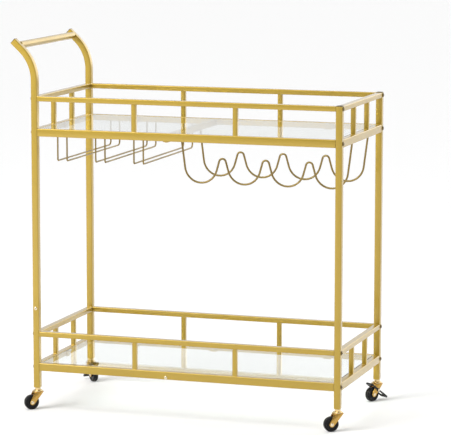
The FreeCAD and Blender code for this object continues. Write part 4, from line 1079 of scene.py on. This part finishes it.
def addBrake(bm, place):
    run = Vector((brakeRun, 0, brake["level"] - shoeLevel))
    along = run.normalized()
    up = Vector((-along.z, 0, along.x))
    height = (brake["level"] + postEnd - brake["below"]) / 2
    middle = Vector(((brake["front"] - brake["back"]) / 2, 0, height))
    wide, half = 2 * (armInside + brake["arm"]), brake["tall"] / 2
    tilt = Matrix((along, axisY, up)).transposed().to_4x4()
    local = place @ Matrix.Translation(middle * mm) @ tilt
    outer = roundLoop(run.length, wide, brake["outerCorner"])
    inner = roundLoop(run.length - 2 * brake["bridge"], 2 * armInside, brake["innerCorner"])
    levels = ((outer, -half), (outer, half), (inner, half), (inner, -half))
    rings = [[bm.verts.new(local @ (Vector((x, y, z)) * mm)) for x, y in loop] for loop, z in levels]
    join(bm, rings, closed=True)
    rib = roundLoop(brake["ribWide"], wide - brake["ribInset"], brake["ribCorner"], 3)
    for i in range(brake["ribs"]):
        x = run.length / 2 - brake["bridge"] * (i + 0.7) / (brake["ribs"] + 0.4)
        plate(bm, [(x + a, b) for a, b in rib], half - brake["ribSunk"], half + brake["ribHigh"], local)
    easeEdges(bm, brake["ease"], least=50)


def boredBrake(place):  # the arms drilled for their rivets, with a bored boss a little proud of each
    pivot = acrossPlace(place, -brake["pivot"], pivotLevel)
    whole, drill = bmesh.new(), bmesh.new()
    addBrake(whole, place)
    radius, reach = brake["bore"] + brake["proud"], wheelRadius
    lathe(drill, [(0, -reach), (radius, -reach), (radius, reach), (0, reach)], pivot, 32)
    bm = bmesh.new()
    bm.from_mesh(carve(whole, drill))
    for way in (-1, 1):
        inner, outer = armInside - brake["proud"], armInside + brake["arm"] + brake["proud"]
        near, far = sorted((way * inner, way * outer))
        hub = [(brake["bore"], near), (brake["boss"], near), (brake["boss"], far), (brake["bore"], far)]
        lathe(bm, hub, pivot, 32, closed=True)
    return bm


def brakeRivets(place):
    bm = bmesh.new()
    outside = forkHalf + 3 * caster["play"] + brake["arm"]
    for turn in (0, pi):
        turned = acrossPlace(place, -brake["pivot"], pivotLevel) @ Matrix.Rotation(turn, 4, "X")
        inside = caster["fork"]["gap"] / 2
        addRivet(bm, turned, brake["pin"], inside, outside, brake["pinHead"], brake["pinTall"])
    return bm


stems = bmesh.new()
for name in corners:
    place, trail = cornerPlace(name)
    addStem(stems, place)
    bm = bmesh.new()
    addFork(bm, place, trail)
    piece = fromBmesh(f"{name}_fork", bm)
    settle(piece, finish["brightBrass"], "bright_brass", f"{name}_caster", f"{name}_fork")
    bm = bmesh.new()
    addWheel(bm, place, trail)
    piece = fromBmesh(f"{name}_wheel", bm, 28)
    settle(piece, finish["blackWheel"], "black_wheel", f"{name}_roller", f"{name}_wheel")
    bm = bmesh.new()
    addAxle(bm, acrossPlace(place, -trail, wheelRadius), axle["round"], forkHalf, axle["head"], axle["tall"])
    piece = fromBmesh(f"{name}_axle", bm)
    settle(piece, finish["brightSteel"], "bright_steel", f"{name}_caster", f"{name}_axle")
    if f"{name}_brake" in frame["nodes"]:
        piece = fromBmesh(f"{name}_brake", boredBrake(place))
        settle(piece, finish["blackSteel"], "black_steel", f"{name}_brake_lever", f"{name}_brake")
        piece = fromBmesh(f"{name}_brake_rivets", brakeRivets(place))
        settle(piece, finish["brightSteel"], "bright_steel", f"{name}_caster", f"{name}_brake_rivets")
settle(fromBmesh("caster_stems", stems), finish["paleBrass"], "bright_brass", "frame", "caster_stems")

# Hidden pieces keep their own shapes
kept = {"post_sleeves": "rawSteel", "rail_plugs": "rawSteel", "stem_sockets": "blackPlastic"}
for node, look in kept.items():
    piece = frame["nodes"][node]
    if not piece.material_slots:
        piece.data.materials.append(finish[look])
    for holder in piece.material_slots:
        holder.material = finish[look]
print("casters made")

# Studio: a pale floor, a pale surround that is darker towards the camera, and soft lamps
studio = {
    "floor": 60, "floorTone": 0.93, "floorRough": 0.9,
    "towards": (0.6, 0.8, 0),
    "tones": ((0.3, 0.43), (0.8, 0.9), (0.97, 2.1)),  # (share of the way round, level)
}
lamps = {
    "overhead": {"kind": "SUN", "place": (-1.2, -1.5, 4), "aim": (0, 0, 0), "power": 1.1, "size": 35},
    "leftPanel": {"kind": "AREA", "place": (-2.6, -3.2, 2.4), "aim": (0, 0, 0.5), "power": 115, "size": 2.0},
}
mesh = bpy.data.meshes.new("floor")
half = studio["floor"] / 2
mesh.from_pydata([(-half, -half, 0), (half, -half, 0), (half, half, 0), (-half, half, 0)], [], [(0, 1, 2, 3)])
floor = newPiece("floor", mesh)
ground = bpy.data.materials.new("paleFloor")
ground.use_nodes = True
shader = ground.node_tree.nodes["Principled BSDF"]
shader.inputs["Base Color"].default_value = (studio["floorTone"],) * 3 + (1,)
shader.inputs["Roughness"].default_value = studio["floorRough"]
floor.data.materials.append(ground)

world = bpy.data.worlds.new("studio")
bpy.context.scene.world = world
world.use_nodes = True
sky = world.node_tree
around = sky.nodes.new("ShaderNodeTexCoord")
facing = sky.nodes.new("ShaderNodeVectorMath")
facing.operation = "DOT_PRODUCT"
facing.inputs[1].default_value = studio["towards"]
share = mathNode(sky, "MULTIPLY_ADD", 0.5, 0.5)  # 0 facing away from "towards", 1 facing it
ramp = sky.nodes.new("ShaderNodeValToRGB")
tones = ramp.color_ramp.elements
tones.new(studio["tones"][1][0])
for tone, (position, level) in zip(tones, studio["tones"]):
    tone.position = position
    tone.color = (level,) * 3 + (1,)
wire(
    sky,
    (around, "Generated", facing, 0),
    (facing, "Value", share, 0),
    (share, 0, ramp, 0),
    (ramp, 0, sky.nodes["Background"], "Color"),
)


for name, look in lamps.items():
    data = bpy.data.lights.new(name, look["kind"])
    data.energy = look["power"]
    if look["kind"] == "AREA":
        data.size = look["size"]
    else:
        data.angle = radians(look["size"])
    light = intoScene(name, data)
    light.location = look["place"]
    aim = Vector(look["aim"]) - Vector(look["place"])
    light.rotation_euler = aim.to_track_quat("-Z", "Y").to_euler()

camera = {"place": (2.091, -6.1125, 1.4286), "down": 8.278, "roll": -0.06, "turn": 18.359, "lens": 203}
data = bpy.data.cameras.new("camera")
data.lens = camera["lens"]
data.clip_end = 200
eye = intoScene("camera", data)
eye.location = camera["place"]
eye.rotation_euler = (radians(90 - camera["down"]), radians(camera["roll"]), radians(camera["turn"]))
bpy.context.scene.camera = eye
bpy.context.scene.view_settings.view_transform = "Standard"
print("studio made")
